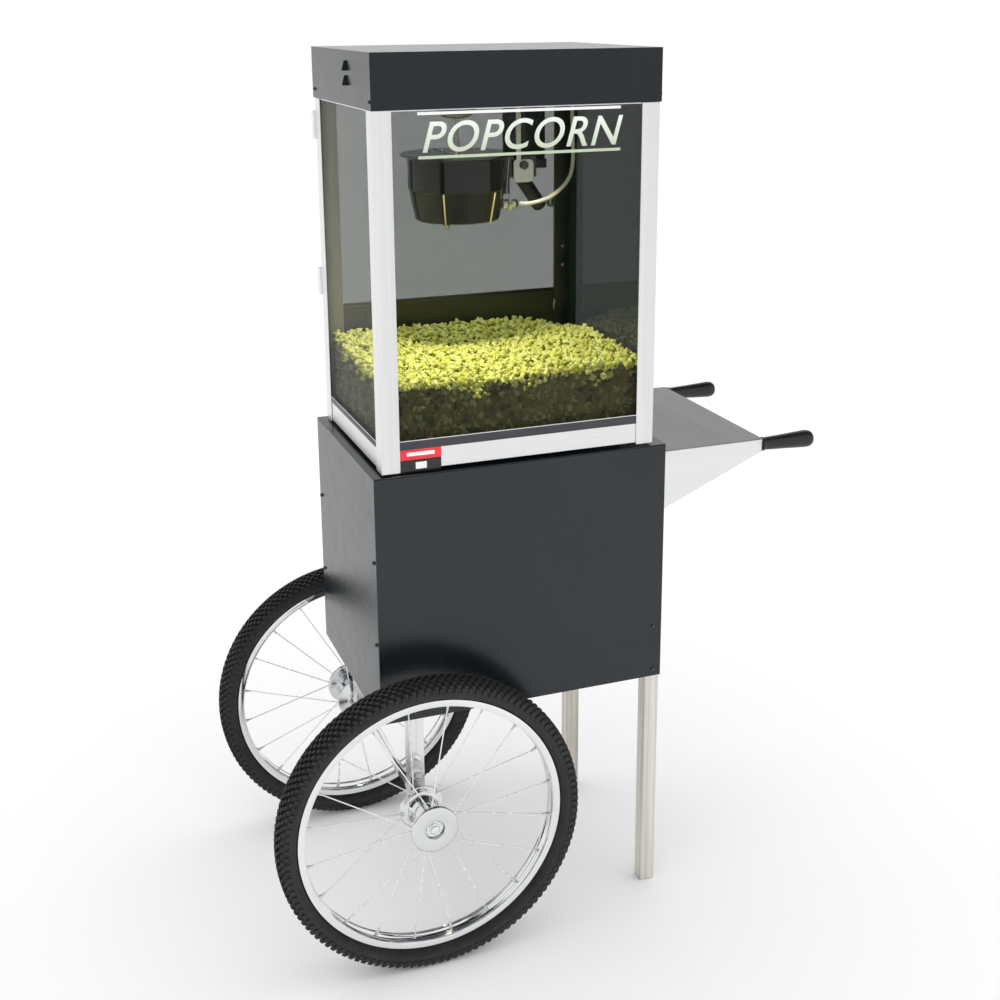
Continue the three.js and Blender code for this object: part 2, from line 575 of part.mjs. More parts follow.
function addConduit() {
  const route = [
    [281, 1209], [300, 1208], [323, 1207.5], [350, 1212], [369, 1220], [386, 1233],
    [397, 1247], [402, 1262], [404, 1284], [403, 1315], [402, 1345], [402, CEILING - GAP],
  ];
  const curve = new THREE.CatmullRomCurve3(route.map(([x, z]) => new THREE.Vector3(x, CONDUIT.y, z)));
  const section = new THREE.Shape();
  section.absarc(0, 0, CONDUIT.radius, 0, 2 * Math.PI);
  const tube = new THREE.ExtrudeGeometry(section, { steps: 22, extrudePath: curve, curveSegments: 5 });
  const [wallX, wallZ] = route[0];
  const [topX] = route[route.length - 1];
  const fittings = [
    rod('x', CONDUIT.fitting, [wallX, wallX + 18], [0, CONDUIT.y, wallZ], 12),
    rod('z', CONDUIT.fitting, [CEILING - 12, CEILING - GAP], [topX, CONDUIT.y, 0], 12),
  ];
  add('kettle_conduit', join(tube, ...fittings), STAINLESS);
}

function addStirring() {
  const at = [KETTLE.x, KETTLE.y, 0];
  const coupling = [
    [0, SHAFT.low], [6, SHAFT.low], [6, SHAFT.low + 10], [SHAFT.radius, SHAFT.low + 12],
    [SHAFT.radius, SHAFT.high], [0, SHAFT.high],
  ];
  add('drive_shaft', turned(coupling, 'z', at, 16), CHROME);

  const floor = KETTLE.low + 7.5;
  const stem = rod('z', SHAFT.radius, [floor, SHAFT.low - 0.6], at, 16);
  const blades = [[62, 6], [6, 45]].map(([halfX, halfY]) => (
    block([at[0] - halfX, at[0] + halfX], [at[1] - halfY, at[1] + halfY], [floor, floor + 4])));
  add('stirrer', join(stem, ...blades), STAINLESS);
}

// ---- popcorn -----------------------------------------------------------------------------------------
// The heap fills the cabinet's floor, higher at the rear, with a hollow behind its middle and a slumped corner.
function heapHeight(u, v) {
  const mound = 8 * Math.exp(-((u - 0.92) ** 2 + (v - 0.6) ** 2) * 10);
  const hollow = 12 * Math.exp(-((u - 0.42) ** 2) * 16 - (v - 0.68) ** 2 * 30);
  const bank = 6 * Math.exp(-((u - 0.35) ** 2) * 8 - (v - 1) ** 2 * 30);
  const slump = 20 * Math.exp(-((u - 1) ** 2) * 60 - (v - 1) ** 2 * 25) + 7 * v * Math.exp(-((u - 1) ** 2) * 30);
  return HEAP.level + 14 * v + mound - hollow + bank - slump + 4 * Math.sin(7 * u + 2) * Math.cos(5 * v);
}

function addHeap() {
  const inset = SHEET + 0.5 + GLASS + 1.5;
  const x = [MACHINE.x[0] + inset, MACHINE.x[1] - inset];
  const y = [MACHINE.y[0] + inset, MACHINE.y[1] - inset + GLASS - 1];
  const geometry = new THREE.BoxGeometry(1, 1, 1, 14, 11, 1);
  const position = geometry.attributes.position;
  for (let i = 0; i < position.count; i += 1) {
    const u = position.getX(i) + 0.5;
    const v = position.getY(i) + 0.5;
    const z = position.getZ(i) > 0 ? heapHeight(u, v) : HEAP.low;
    position.setXYZ(i, x[0] + u * (x[1] - x[0]), y[0] + v * (y[1] - y[0]), z);
  }
  add('popcorn_heap', geometry, POPCORN);
}

// ---- assembly ----------------------------------------------------------------------------------------
addCartBody();
addCartDoor();
addLegs();
addAxle();
addWheel('front', 0, -1);
addWheel('rear', CART.depth, 1);
addPushEnd();
addPosts();
addBase();
addDrawer();
addGlass();
addDoor();
addRoof();
addRoofFittings();
addKettle();
addHanger();
addConduit();
addStirring();
addHeap();

const leftmost = AXLE.x - TYRE.radius;
const rightmost = SHELF.end + GRIP.length;
machine.position.set(-(leftmost + rightmost) / 2, -CART.depth / 2, 0);

export default machine;
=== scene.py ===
"""Looks for the popcorn machine on its push cart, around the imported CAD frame.

Lengths here are millimetres in the cart's own frame: X from the cart's left face towards the grips, Y from
its front face towards the operator, Z from the ground. to_frame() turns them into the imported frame's metres.
"""
import json
import math

import bmesh
import bpy
import numpy as np
from mathutils import Matrix, Vector

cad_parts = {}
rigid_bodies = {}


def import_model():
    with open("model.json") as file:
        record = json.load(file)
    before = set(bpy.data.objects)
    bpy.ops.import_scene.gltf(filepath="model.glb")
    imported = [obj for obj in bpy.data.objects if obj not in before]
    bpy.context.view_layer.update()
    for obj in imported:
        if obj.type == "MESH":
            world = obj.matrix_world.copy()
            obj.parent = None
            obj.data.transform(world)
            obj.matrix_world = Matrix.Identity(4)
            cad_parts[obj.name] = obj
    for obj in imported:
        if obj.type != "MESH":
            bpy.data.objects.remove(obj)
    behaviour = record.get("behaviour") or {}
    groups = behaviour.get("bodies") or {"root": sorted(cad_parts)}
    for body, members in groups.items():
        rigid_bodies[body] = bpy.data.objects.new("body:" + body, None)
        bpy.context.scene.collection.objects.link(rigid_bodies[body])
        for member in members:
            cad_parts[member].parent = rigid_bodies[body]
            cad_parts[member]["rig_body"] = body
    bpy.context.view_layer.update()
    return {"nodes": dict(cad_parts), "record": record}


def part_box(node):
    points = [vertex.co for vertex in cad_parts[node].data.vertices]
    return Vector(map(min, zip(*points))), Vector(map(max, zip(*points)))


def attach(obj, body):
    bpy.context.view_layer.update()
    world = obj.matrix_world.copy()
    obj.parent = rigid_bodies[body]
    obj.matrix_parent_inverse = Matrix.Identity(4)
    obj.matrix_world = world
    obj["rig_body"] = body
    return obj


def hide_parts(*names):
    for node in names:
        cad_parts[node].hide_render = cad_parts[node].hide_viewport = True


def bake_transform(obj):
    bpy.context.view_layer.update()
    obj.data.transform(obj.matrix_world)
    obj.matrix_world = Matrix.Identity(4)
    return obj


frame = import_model()

CORNER = Vector((-0.2965, -0.185, 0.0))  # the cart's front left corner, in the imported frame
MM = 0.001
SLOTS = {part["node"]: part["material_slot"] for part in frame["record"]["subparts"]}
LOOKS = {}  # this script's materials by name: the CAD's own may have the same names
CART_WIDTH = 500
CART_DEPTH = 370

# ---- camera and light --------------------------------------------------------------------------------
CAMERA_AT = (-0.8332, -2.1822, 1.5253)
CAMERA_YAW = 0.35686
CAMERA_PITCH = -0.26767
CAMERA_ROLL = -0.00671
CAMERA_LENS = 50.94
CAMERA_SHIFT = -0.108
ROOM_LIGHT = 1.12
LAMP_AT = (156, 42, 1357)
LAMP_AIM = (235, 175, 965)
LAMP_POWER = 13.5
FILL_AT = (250, 325, 1345)
FILL_AIM = (230, 250, 965)
FILL_POWER = 3.5
OUT_OF_LAMP = [
    "floor", "kettle_pot", "kettle_lid_skin", "kettle_lid_flap_skin", "lid_hinge_knuckles",
    "rear_post_strips", "door_glass_skin", "right_glass_skin",
]
FLAGS = [(0.0, 0.16), (0.48, 0.1), (3.0, 0.14), (-2.45, 0.12)]  # each dark flag's bearing and half width
FLOOR_HALF = 30  # metres


def add_object(name, data):
    made = bpy.data.objects.new(name, data)
    bpy.context.scene.collection.objects.link(made)
    return made


def add_camera():
    data = bpy.data.cameras.new("camera")
    data.lens = CAMERA_LENS
    data.sensor_width = 36
    data.shift_y = CAMERA_SHIFT
    data.clip_end = 200
    ahead = Vector((
        math.cos(CAMERA_PITCH) * math.sin(CAMERA_YAW),
        math.cos(CAMERA_PITCH) * math.cos(CAMERA_YAW),
        math.sin(CAMERA_PITCH),
    ))
    level = Vector((math.cos(CAMERA_YAW), -math.sin(CAMERA_YAW), 0))
    rise = level.cross(ahead)
    right = math.cos(CAMERA_ROLL) * level + math.sin(CAMERA_ROLL) * rise
    up = math.cos(CAMERA_ROLL) * rise - math.sin(CAMERA_ROLL) * level
    camera = add_object("camera", data)
    axes = Matrix((right, up, -ahead)).transposed().to_4x4()
    camera.matrix_world = Matrix.Translation(CAMERA_AT) @ axes
    bpy.context.scene.camera = camera


def add_spot_light(name, place, aim, spread, radius, power, color):
    data = bpy.data.lights.new(name, "SPOT")
    data.spot_size = math.radians(spread)
    data.spot_blend = 0.25
    data.shadow_soft_size = radius
    data.energy = power
    data.color = color
    light = add_object(name, data)
    light.location = to_frame(place)
    light.rotation_euler = (to_frame(aim) - to_frame(place)).to_track_quat("-Z", "Y").to_euler()
    return light


def leave_out(light, names):
    """The light passes these pieces by, though they still cast its shadow."""
    unlit = bpy.data.collections.new("unlit")
    for name in names:
        unlit.objects.link(bpy.data.objects[name])
    light.light_linking.receiver_collection = unlit
    for link in unlit.collection_objects:
        link.light_linking.link_state = "EXCLUDE"


def band(tree, value, middle, half, soft):
    """One inside middle +- half, falling to nothing over soft."""
    away = maths(tree, "ABSOLUTE", maths(tree, "SUBTRACT", value, middle))
    return ranged(tree, away, 1.0, 0.0, half, half + soft)


def add_world():
    """White to the camera, even light for matt surfaces, and a few dark flags for metal to mirror."""
    world = bpy.data.worlds.new("studio")
    bpy.context.scene.world = world
    world.use_nodes = True
    tree = world.node_tree
    tree.nodes.clear()
    output = tree.nodes.new("ShaderNodeOutputWorld")
    direction = add_node(tree, "ShaderNodeTexCoord").outputs["Generated"]
    parts = add_node(tree, "ShaderNodeSeparateXYZ", {"Vector": direction}).outputs
    bearing = maths(tree, "ARCTAN2", parts["Y"], parts["X"])
    flags = band(tree, parts["Z"], 1.0, 0.16, 0.14)
    for middle, half in FLAGS:
        flags = maths(tree, "MAXIMUM", flags, band(tree, bearing, middle, half, 0.12))
    mirrored = tinted(tree, flags, (0.97, 0.97, 0.97), (0.05, 0.05, 0.055))
    white, soft, studio = [
        add_node(tree, "ShaderNodeBackground", {"Color": color, "Strength": strength}).outputs[0]
        for color, strength in (((1, 1, 1, 1), 1.0), ((1, 1, 1, 1), ROOM_LIGHT), (mirrored, 1.0))
    ]
    path = add_node(tree, "ShaderNodeLightPath").outputs
    shown = add_node(tree, "ShaderNodeMixShader", {0: path["Is Glossy Ray"], 1: soft, 2: studio}).outputs[0]
    shown = add_node(tree, "ShaderNodeMixShader", {0: path["Is Camera Ray"], 1: shown, 2: white}).outputs[0]
    tree.links.new(shown, output.inputs["Surface"])


def add_floor():
    mesh = bpy.data.meshes.new("floor")
    corners = [(x * FLOOR_HALF, y * FLOOR_HALF, 0) for x, y in ((-1, -1), (1, -1), (1, 1), (-1, 1))]
    mesh.from_pydata(corners, [], [(0, 1, 2, 3)])
    mesh.materials.append(LOOKS["pale_floor"])
    add_object("floor", mesh)


# ---- node helpers ------------------------------------------------------------------------------------
def add_node(tree, kind, inputs=None, **settings):
    made = tree.nodes.new(kind)
    for key, value in settings.items():
        setattr(made, key, value)
    for key, value in (inputs or {}).items():
        if isinstance(value, bpy.types.NodeSocket):
            tree.links.new(value, made.inputs[key])
        else:
            made.inputs[key].default_value = value
    return made


def maths(tree, operation, first, second=0.0):
    return add_node(tree, "ShaderNodeMath", {0: first, 1: second}, operation=operation).outputs[0]


def start(name, color, roughness, metallic=0.0, mirror=0.5):
    """Adds a material to LOOKS with its Principled node set, and returns its tree and that node's inputs."""
    material = bpy.data.materials.new(name)
    LOOKS[name] = material
    material.use_nodes = True
    tree = material.node_tree
    inputs = tree.nodes["Principled BSDF"].inputs
    inputs["Base Color"].default_value = (*color, 1)
    inputs["Roughness"].default_value = roughness
    inputs["Metallic"].default_value = metallic
    inputs["Specular IOR Level"].default_value = mirror
    return tree, inputs


def pattern(tree, scale, stretch=(1, 1, 1), detail=3.0, rough=0.5):
    """Noise over the piece, in metres, stretched by the factors given."""
    place = add_node(tree, "ShaderNodeTexCoord").outputs["Object"]
    mapped = add_node(tree, "ShaderNodeMapping", {"Vector": place, "Scale": stretch}).outputs["Vector"]
    settings = {"Vector": mapped, "Scale": scale, "Detail": detail, "Roughness": rough}
    return add_node(tree, "ShaderNodeTexNoise", settings).outputs["Fac"]


def ranged(tree, value, low, high, start=0.3, end=0.7):
    """Maps start to end, where most of a noise lies, to low and high."""
    settings = {"Value": value, "From Min": start, "From Max": end, "To Min": low, "To Max": high}
    return add_node(tree, "ShaderNodeMapRange", settings).outputs["Result"]


def mixed(tree, factor, first, second):
    return add_node(tree, "ShaderNodeMix", {0: factor, 6: first, 7: second}, data_type="RGBA").outputs[2]


def tinted(tree, factor, dark, light):
    return mixed(tree, factor, (*dark, 1), (*light, 1))


def bump(tree, inputs, height, strength, distance):
    made = add_node(tree, "ShaderNodeBump", {"Height": height, "Strength": strength, "Distance": distance})
    tree.links.new(made.outputs["Normal"], inputs["Normal"])


def vary(tree, inputs, color_noise, dark, light, roughness_noise, roughness):
    """Lets the colour drift from dark to light, and the roughness within its range."""
    tree.links.new(tinted(tree, ranged(tree, color_noise, 0, 1), dark, light), inputs["Base Color"])
    tree.links.new(ranged(tree, roughness_noise, *roughness), inputs["Roughness"])


# ---- materials ---------------------------------------------------------------------------------------
def powder_coat(name, dark, light, roughness=(0.24, 0.28), mirror=0.52):
    """Near-black paint whose look is mostly what it mirrors."""
    tree, inputs = start(name, dark, 0.3, mirror=mirror)
    vary(tree, inputs, pattern(tree, 6, detail=2), dark, light, pattern(tree, 30), roughness)
    bump(tree, inputs, pattern(tree, 900, detail=1), 0.015, 0.0002)


def brushed(name, dark, light, roughness, along="z", metallic=1.0, streaks=260):
    """Metal with fine streaks along one axis."""
    tree, inputs = start(name, light, roughness[0], metallic)
    stretch = {"x": (0.015, 1, 1), "y": (1, 0.015, 1), "z": (1, 1, 0.015)}[along]
    fine = pattern(tree, streaks, stretch, detail=4, rough=0.6)
    both = maths(tree, "ADD", fine, pattern(tree, streaks / 9, stretch, detail=2))
    tree.links.new(tinted(tree, ranged(tree, both, 0, 1, 0.75, 1.25), dark, light), inputs["Base Color"])
    tree.links.new(ranged(tree, fine, *roughness), inputs["Roughness"])
    bump(tree, inputs, fine, 0.05, 0.0002)


def chrome(name, color=(0.86, 0.87, 0.88), roughness=(0.05, 0.11), metallic=1.0):
    """Plated or polished metal, a little uneven."""
    tree, inputs = start(name, color, roughness[0], metallic)
    faint = [c * 0.9 for c in color]
    vary(tree, inputs, pattern(tree, 9), faint, color, pattern(tree, 60, detail=4), roughness)
    bump(tree, inputs, pattern(tree, 350, detail=2), 0.02, 0.0003)


def rubber(name, dark, light, roughness, grain=900, strength=0.25):
    """Matt dark surface with a fine grain."""
    tree, inputs = start(name, dark, roughness[0])
    vary(tree, inputs, pattern(tree, 25, detail=5), dark, light, pattern(tree, 120), roughness)
    bump(tree, inputs, pattern(tree, grain, detail=2), strength, 0.0004)


def pane(name, tint, through, mirror):
    """Tinted glass. through is the share of light that one sheet, with its two faces, lets past."""
    tree, inputs = start(name, tint, 0.03, mirror=mirror)
    cloudy = [c * 1.2 for c in tint]
    vary(tree, inputs, pattern(tree, 3), tint, cloudy, pattern(tree, 5, detail=5, rough=0.6), (0.02, 0.06))
    inputs["Alpha"].default_value = 1 - math.sqrt(through)


def enamel(name, dark, light, mirror):
    """Deep gloss enamel whose colour drifts from dark to light in upright bands: painted vertical reflections.
    """
    tree, inputs = start(name, dark, 0.12, mirror=mirror)
    painted_reflection_bands = pattern(tree, 26, (1, 1, 0.02), detail=2)
    vary(tree, inputs, painted_reflection_bands, dark, light, pattern(tree, 45, detail=5), (0.06, 0.14))
    bump(tree, inputs, pattern(tree, 220, (1, 1, 0.2)), 0.02, 0.0003)


def plastic(name, color, roughness=(0.3, 0.42), specks=1100, strength=0.12):
    """Moulded plastic or smooth paint with a faint speckle."""
    tree, inputs = start(name, color, roughness[0])
    light = [min(1, c * 1.35 + 0.002) for c in color]
    vary(tree, inputs, pattern(tree, 30), color, light, pattern(tree, 200), roughness)
    bump(tree, inputs, pattern(tree, specks, detail=1), strength, 0.0003)


def decal_ink():
    """White print on the glass that greens towards its foot."""
    tree, inputs = start("decal_ink", (0.8, 0.86, 0.76), 0.4)
    place = add_node(tree, "ShaderNodeTexCoord").outputs["Object"]
    height = add_node(tree, "ShaderNodeSeparateXYZ", {"Vector": place}).outputs["Z"]
    fade = ranged(tree, height, 0, 1, 1.305, 1.37)
    tree.links.new(tinted(tree, fade, (0.5, 0.6, 0.42), (0.95, 0.98, 0.95)), inputs["Base Color"])
    tree.links.new(ranged(tree, pattern(tree, 300), 0.35, 0.5), inputs["Roughness"])


def popped_corn():
    """Kernel colour from each kernel's own tone and a painted shade, kept in two point attributes. The painted
    shade mixes buried kernels, and those low on the heap's face, towards dark olive shadow colours.
    """
    tree, inputs = start("popped_corn", (0.85, 0.75, 0.25), 0.7)
    tone = add_node(tree, "ShaderNodeAttribute", attribute_name="tone").outputs["Fac"]
    painted_shade = add_node(tree, "ShaderNodeAttribute", attribute_name="painted_shade").outputs["Fac"]
    blotch = ranged(tree, pattern(tree, 160), 0, 1)
    butter = tinted(tree, blotch, (0.6, 0.56, 0.04), (0.72, 0.8, 0.18))
    pale = tinted(tree, tone, (0.6, 0.66, 0.09), (0.84, 0.92, 0.38))
    # Painted shadow colours: kernels are mixed towards these by their painted shade, not by any lamp.
    shadow = tinted(tree, tone, (0.048, 0.053, 0.018), (0.23, 0.26, 0.11))
    tree.links.new(mixed(tree, painted_shade, mixed(tree, 0.55, butter, pale), shadow), inputs["Base Color"])
    tree.links.new(ranged(tree, pattern(tree, 90), 0.55, 0.8), inputs["Roughness"])
    bump(tree, inputs, pattern(tree, 420, detail=4), 0.6, 0.0016)


# ---- mesh helpers ------------------------------------------------------------------------------------
def to_frame(point):
    return Vector(point) * MM + CORNER


def span(node):
    """A CAD node's lowest and highest corners, in millimetres of the cart's frame."""
    low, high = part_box(node)
    return (low - CORNER) / MM, (high - CORNER) / MM


def start_of(node, axis):
    """The middle of a node's low end along an axis, and its length along it, in millimetres."""
    low, high = span(node)
    place = (low + high) / 2
    along = "xyz".index(axis)
    place[along] = low[along]
    return place, high[along] - low[along]


def finish_piece(name, bm, body, slot, *looks, sharp=35, stands_for=None):
    """Makes a piece of bm, with the materials named in looks, that may stand for a CAD node."""
    bmesh.ops.recalc_face_normals(bm, faces=bm.faces)
    mesh = bpy.data.meshes.new(name)
    bm.to_mesh(mesh)
    bm.free()
    for look in looks:
        mesh.materials.append(LOOKS[look])
    mesh.shade_smooth()
    mesh.set_sharp_from_angle(angle=math.radians(sharp))
    made = add_object(name, mesh)
    if body:
        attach(made, body)
    if stands_for:
        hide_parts(stands_for)
    return made


def add_mesh(bm, points, faces, material=0):
    """Adds faces, as lists of point numbers, to bm. The points are in millimetres."""
    verts = [bm.verts.new(to_frame(p)) for p in points]
    for corners in faces:
        face = bm.faces.new([verts[i] for i in corners])
        face.material_index = material


def rounded(profile, radius, steps=3, closed=False):
    """The same outline with each corner cut by a short curve. Corners on the axis stay."""
    points = [Vector(p) for p in profile]
    count = len(points)
    out = []
    for i, corner in enumerate(points):
        inner = closed or 0 < i < count - 1
        if not inner or corner.x == 0:
            out.append(tuple(corner))
            continue
        before, after = points[i - 1] - corner, points[(i + 1) % count] - corner
        reach = min(radius, before.length * 0.45, after.length * 0.45)
        first, last = corner + before.normalized() * reach, corner + after.normalized() * reach
        for k in range(steps + 1):
            t = k / steps
            out.append(tuple(first * (1 - t) ** 2 + corner * 2 * t * (1 - t) + last * t ** 2))
    return out


AXES = {
    "x": (Vector((0, 1, 0)), Vector((0, 0, 1)), Vector((1, 0, 0))),
    "y": (Vector((0, 0, 1)), Vector((1, 0, 0)), Vector((0, 1, 0))),
    "z": (Vector((1, 0, 0)), Vector((0, 1, 0)), Vector((0, 0, 1))),
}


def skin(bm, points, rings, material, caps=()):
    """Joins each ring of point numbers to the next. A ring that is one point over and over is a pole."""
    faces = []
    for lower, upper in zip(rings, rings[1:]):
        for i in range(len(lower)):
            j = (i + 1) % len(lower)
            corners = list(dict.fromkeys([lower[i], lower[j], upper[j], upper[i]]))
            if len(corners) > 2:
                faces.append(corners)
    add_mesh(bm, points, [*faces, *caps], material)


def turn(bm, profile, axis, centre, segments=64, material=0, sign=1):
    """Adds a turned shape. profile is (radius, place along the axis times sign); it closes on itself."""
    across, over, along = AXES[axis]
    centre = Vector(centre)
    rings = []
    points = []
    for radius, reach in profile:
        if radius == 0:
            rings.append([len(points)] * segments)
            points.append(centre + along * sign * reach)
            continue
        rings.append([len(points) + i for i in range(segments)])
        for i in range(segments):
            angle = 2 * math.pi * i / segments
            outwards = across * math.cos(angle) + over * math.sin(angle)
            points.append(centre + along * sign * reach + radius * outwards)
    if profile[0][0] != 0:
        rings.append(rings[0])
    skin(bm, points, rings, material)


def disc(bm, radius, low, high, axis, centre, segments=32):
    """Adds a flat-ended round, or with six segments a nut."""
    turn(bm, [(0, low), (radius, low), (radius, high), (0, high)], axis, centre, segments)


def tube(bm, path, radii, sides=12, material=0):
    """Adds a closed round tube through the points of a path, with one radius for all or one for each."""
    path = [Vector(p) for p in path]
    if not isinstance(radii, (list, tuple)):
        radii = [radii] * len(path)
    heading = (path[1] - path[0]).normalized()
    side = heading.orthogonal().normalized()
    points = []
    for i, (place, radius) in enumerate(zip(path, radii)):
        ahead = path[min(i + 1, len(path) - 1)] - path[max(i - 1, 0)]
        if ahead.length > 0:
            ahead.normalize()
            side = (side - ahead * side.dot(ahead)).normalized()
            heading = ahead
        other = heading.cross(side)
        for k in range(sides):
            angle = 2 * math.pi * k / sides
            points.append(place + radius * (side * math.cos(angle) + other * math.sin(angle)))
    rings = [[i * sides + k for k in range(sides)] for i in range(len(path))]
    skin(bm, points, rings, material, (rings[0], rings[-1]))


def slab(bm, low, high, bevel=0.6, segments=2, material=0):
    """Adds a block with rounded edges."""
    part = bmesh.new()
    bmesh.ops.create_cube(part, size=1)
    low, high = Vector(low), Vector(high)
    size, middle = high - low, (high + low) / 2
    for vert in part.verts:
        vert.co = Vector(a * b + c for a, b, c in zip(vert.co, size, middle))
    reach = min(bevel, min(size) * 0.45)
    bmesh.ops.bevel(part, geom=part.edges, offset=reach, segments=segments, profile=0.5, affect="EDGES")
    part.verts.index_update()
    add_mesh(bm, [v.co for v in part.verts], [[v.index for v in f.verts] for f in part.faces], material)
    part.free()


def dress(node, look, bevel):
    """Replaces a sheet or block node by a copy of itself with rounded edges."""
    bm = bmesh.new()
    bm.from_mesh(frame["nodes"][node].data)
    bmesh.ops.remove_doubles(bm, verts=bm.verts, dist=1e-6)
    bmesh.ops.dissolve_limit(bm, angle_limit=math.radians(1), verts=bm.verts, edges=bm.edges)
    body = frame["nodes"][node]["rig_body"]
    piece = finish_piece(f"{node}_skin", bm, body, SLOTS[node], look, sharp=22, stands_for=node)
    edges = piece.modifiers.new("edges", "BEVEL")
    edges.width = bevel * MM
    edges.segments = 3
    edges.limit_method = "ANGLE"
    edges.angle_limit = math.radians(30)
    even = piece.modifiers.new("even", "WEIGHTED_NORMAL")
    even.keep_sharp = True


def screw(bm, place, out, radius):
    """Adds a pan head screw with a cross in it. out is the axis and sign it faces, such as -y."""
    sign = -1 if out[0] == "-" else 1
    axis = out[-1]
    dome = [(0, 1.9), (0.45, 1.85), (0.78, 1.5), (0.98, 0.8), (1.0, 0.0), (0, 0)]
    turn(bm, [(r * radius, h * radius * 0.45) for r, h in dome], axis, place, 20, sign=sign)
    across, over, along = AXES[axis]
    for wide, thin in ((0.6, 0.13), (0.13, 0.6)):
        corner = (across * wide + over * thin) * radius
        top = Vector(place) + along * sign * radius * 0.92
        ends = list(zip(top - corner - along * 0.3, top + corner + along * 0.3))
        slab(bm, [min(pair) for pair in ends], [max(pair) for pair in ends], 0.1, 1, 1)


def screws(name, places, out, radius=3.4, slot="black_sheet", head="screw_black"):
    bm = bmesh.new()
    for place in places:
        screw(bm, place, out, radius)
    finish_piece(name, bm, "frame", slot, head, "screw_mark")


# ---- wheels ------------------------------------------------------------------------------------------
TREAD_PITCHES = 124  # blocks round the tyre in each row
SPOKES = 20


def add_tyre(end, middle, axle):
    """Casing with two sidewall ribs, and rows of blocks for the tread."""
    bm = bmesh.new()
    half = [
        (213, 9), (214, 10.6), (221.6, 11.6), (223, 14), (224.2, 18.6), (226, 21.4), (227.2, 21.4),
        (228.5, 23), (232, 25.2), (234, 25.2), (235.2, 25.8), (238, 25.2), (241, 23.4), (243.6, 20),
        (246, 14.5), (247.4, 7), (247.8, 0),
    ]
    profile = half + [(r, -t) for r, t in half[-2::-1]]
    turn(bm, profile, "y", (axle[0], middle, axle[1]), 160)

    def point(angle, radius, across):
        return (axle[0] + radius * math.sin(angle), middle + across, axle[1] + radius * math.cos(angle))

    pitch = 2 * math.pi / TREAD_PITCHES
    rows = [  # (across, half width, share of pitch, skew, phase, foot radius, top radius)
        (0.0, 3.0, 0.64, 0.1, 0.0, 246.5, 253.0),
        (8.2, 2.9, 0.62, 0.2, 0.5, 246.0, 252.8),
        (-8.2, 2.9, 0.62, -0.2, 0.5, 246.0, 252.8),
        (15.8, 2.7, 0.6, 0.25, 0.0, 243.5, 251.6),
        (-15.8, 2.7, 0.6, -0.25, 0.0, 243.5, 251.6),
        (22.2, 2.2, 0.58, 0.25, 0.5, 239.6, 248.9),
        (-22.2, 2.2, 0.58, -0.25, 0.5, 239.6, 248.9),
    ]
    block = [(3, 2, 1, 0), (4, 5, 6, 7), (0, 1, 5, 4), (1, 2, 6, 5), (2, 3, 7, 6), (3, 0, 4, 7)]
    lug = [(0, 1, 3, 2), (4, 6, 7, 5), (0, 4, 5, 1), (2, 3, 7, 6), (1, 5, 7, 3), (0, 2, 6, 4)]
    for i in range(TREAD_PITCHES):
        for across, wide, share, skew, phase, foot, top in rows:
            angle = (i + phase) * pitch
            length = pitch * share / 2
            lean = skew * pitch / 2
            corners = []
            for radius, shrink in ((foot, 1.0), (top, 0.8)):
                for a, w in ((-1, -1), (1, -1), (1, 1), (-1, 1)):
                    turned = angle + a * length * shrink + w * lean
                    corners.append(point(turned, radius, across + w * wide * shrink))
            add_mesh(bm, corners, block)
        for side in (1, -1):  # short lugs down each shoulder
            angle = (i + 0.25) * pitch
            corners = []
            for radius, low, high in ((244.5, 21.6, 25.8), (236.5, 24.6, 27.0)):
                for a in (-0.25, 0.25):
                    corners.append(point(angle + a * pitch, radius, side * low))
                    corners.append(point(angle + a * pitch, radius, side * high))
            add_mesh(bm, corners, lug)
    finish_piece(
        f"tread_{end}", bm, f"wheel_{end}", "tyre_rubber", "tyre_black", sharp=40, stands_for=f"tyre_{end}")


def add_rim(end, middle, axle):
    """Rim with its well and hooked edges, and a nipple for each spoke."""
    bm = bmesh.new()
    half = [
        (208, 0), (208, 5.2), (208.4, 6.4), (210.3, 8.2), (210.6, 9.6), (209.2, 11.4), (208.8, 12.8),
        (209.6, 14.4), (211.4, 15), (218, 14.8), (220.4, 14.6), (221.2, 13.8), (220.9, 12.9),
        (219.4, 12.5), (213.2, 12.2), (212.2, 10.4), (212, 0),
    ]
    profile = half + [(r, -t) for r, t in half[-2:0:-1]]
    turn(bm, profile, "y", (axle[0], middle, axle[1]), 160)
    out = -1 if end == "front" else 1
    for i in range(SPOKES):  # nipples
        angle = (i + 0.5) * 2 * math.pi / SPOKES
        lean = 3 if i % 2 == 0 else -3
        ends = []
        for radius in (209, 203.5, 202.5, 197):
            ends.append((
                axle[0] + radius * math.cos(angle),
                middle + out * lean * (1 + (208 - radius) * 0.02),
                axle[1] + radius * math.sin(angle)))
        tube(bm, ends, [2.9, 2.5, 1.9, 1.6], 10, 1)
    looks = ("chrome_plate", "nipple_chrome")
    finish_piece(f"rim_ring_{end}", bm, f"wheel_{end}", "chrome", *looks, stands_for=f"rim_{end}")


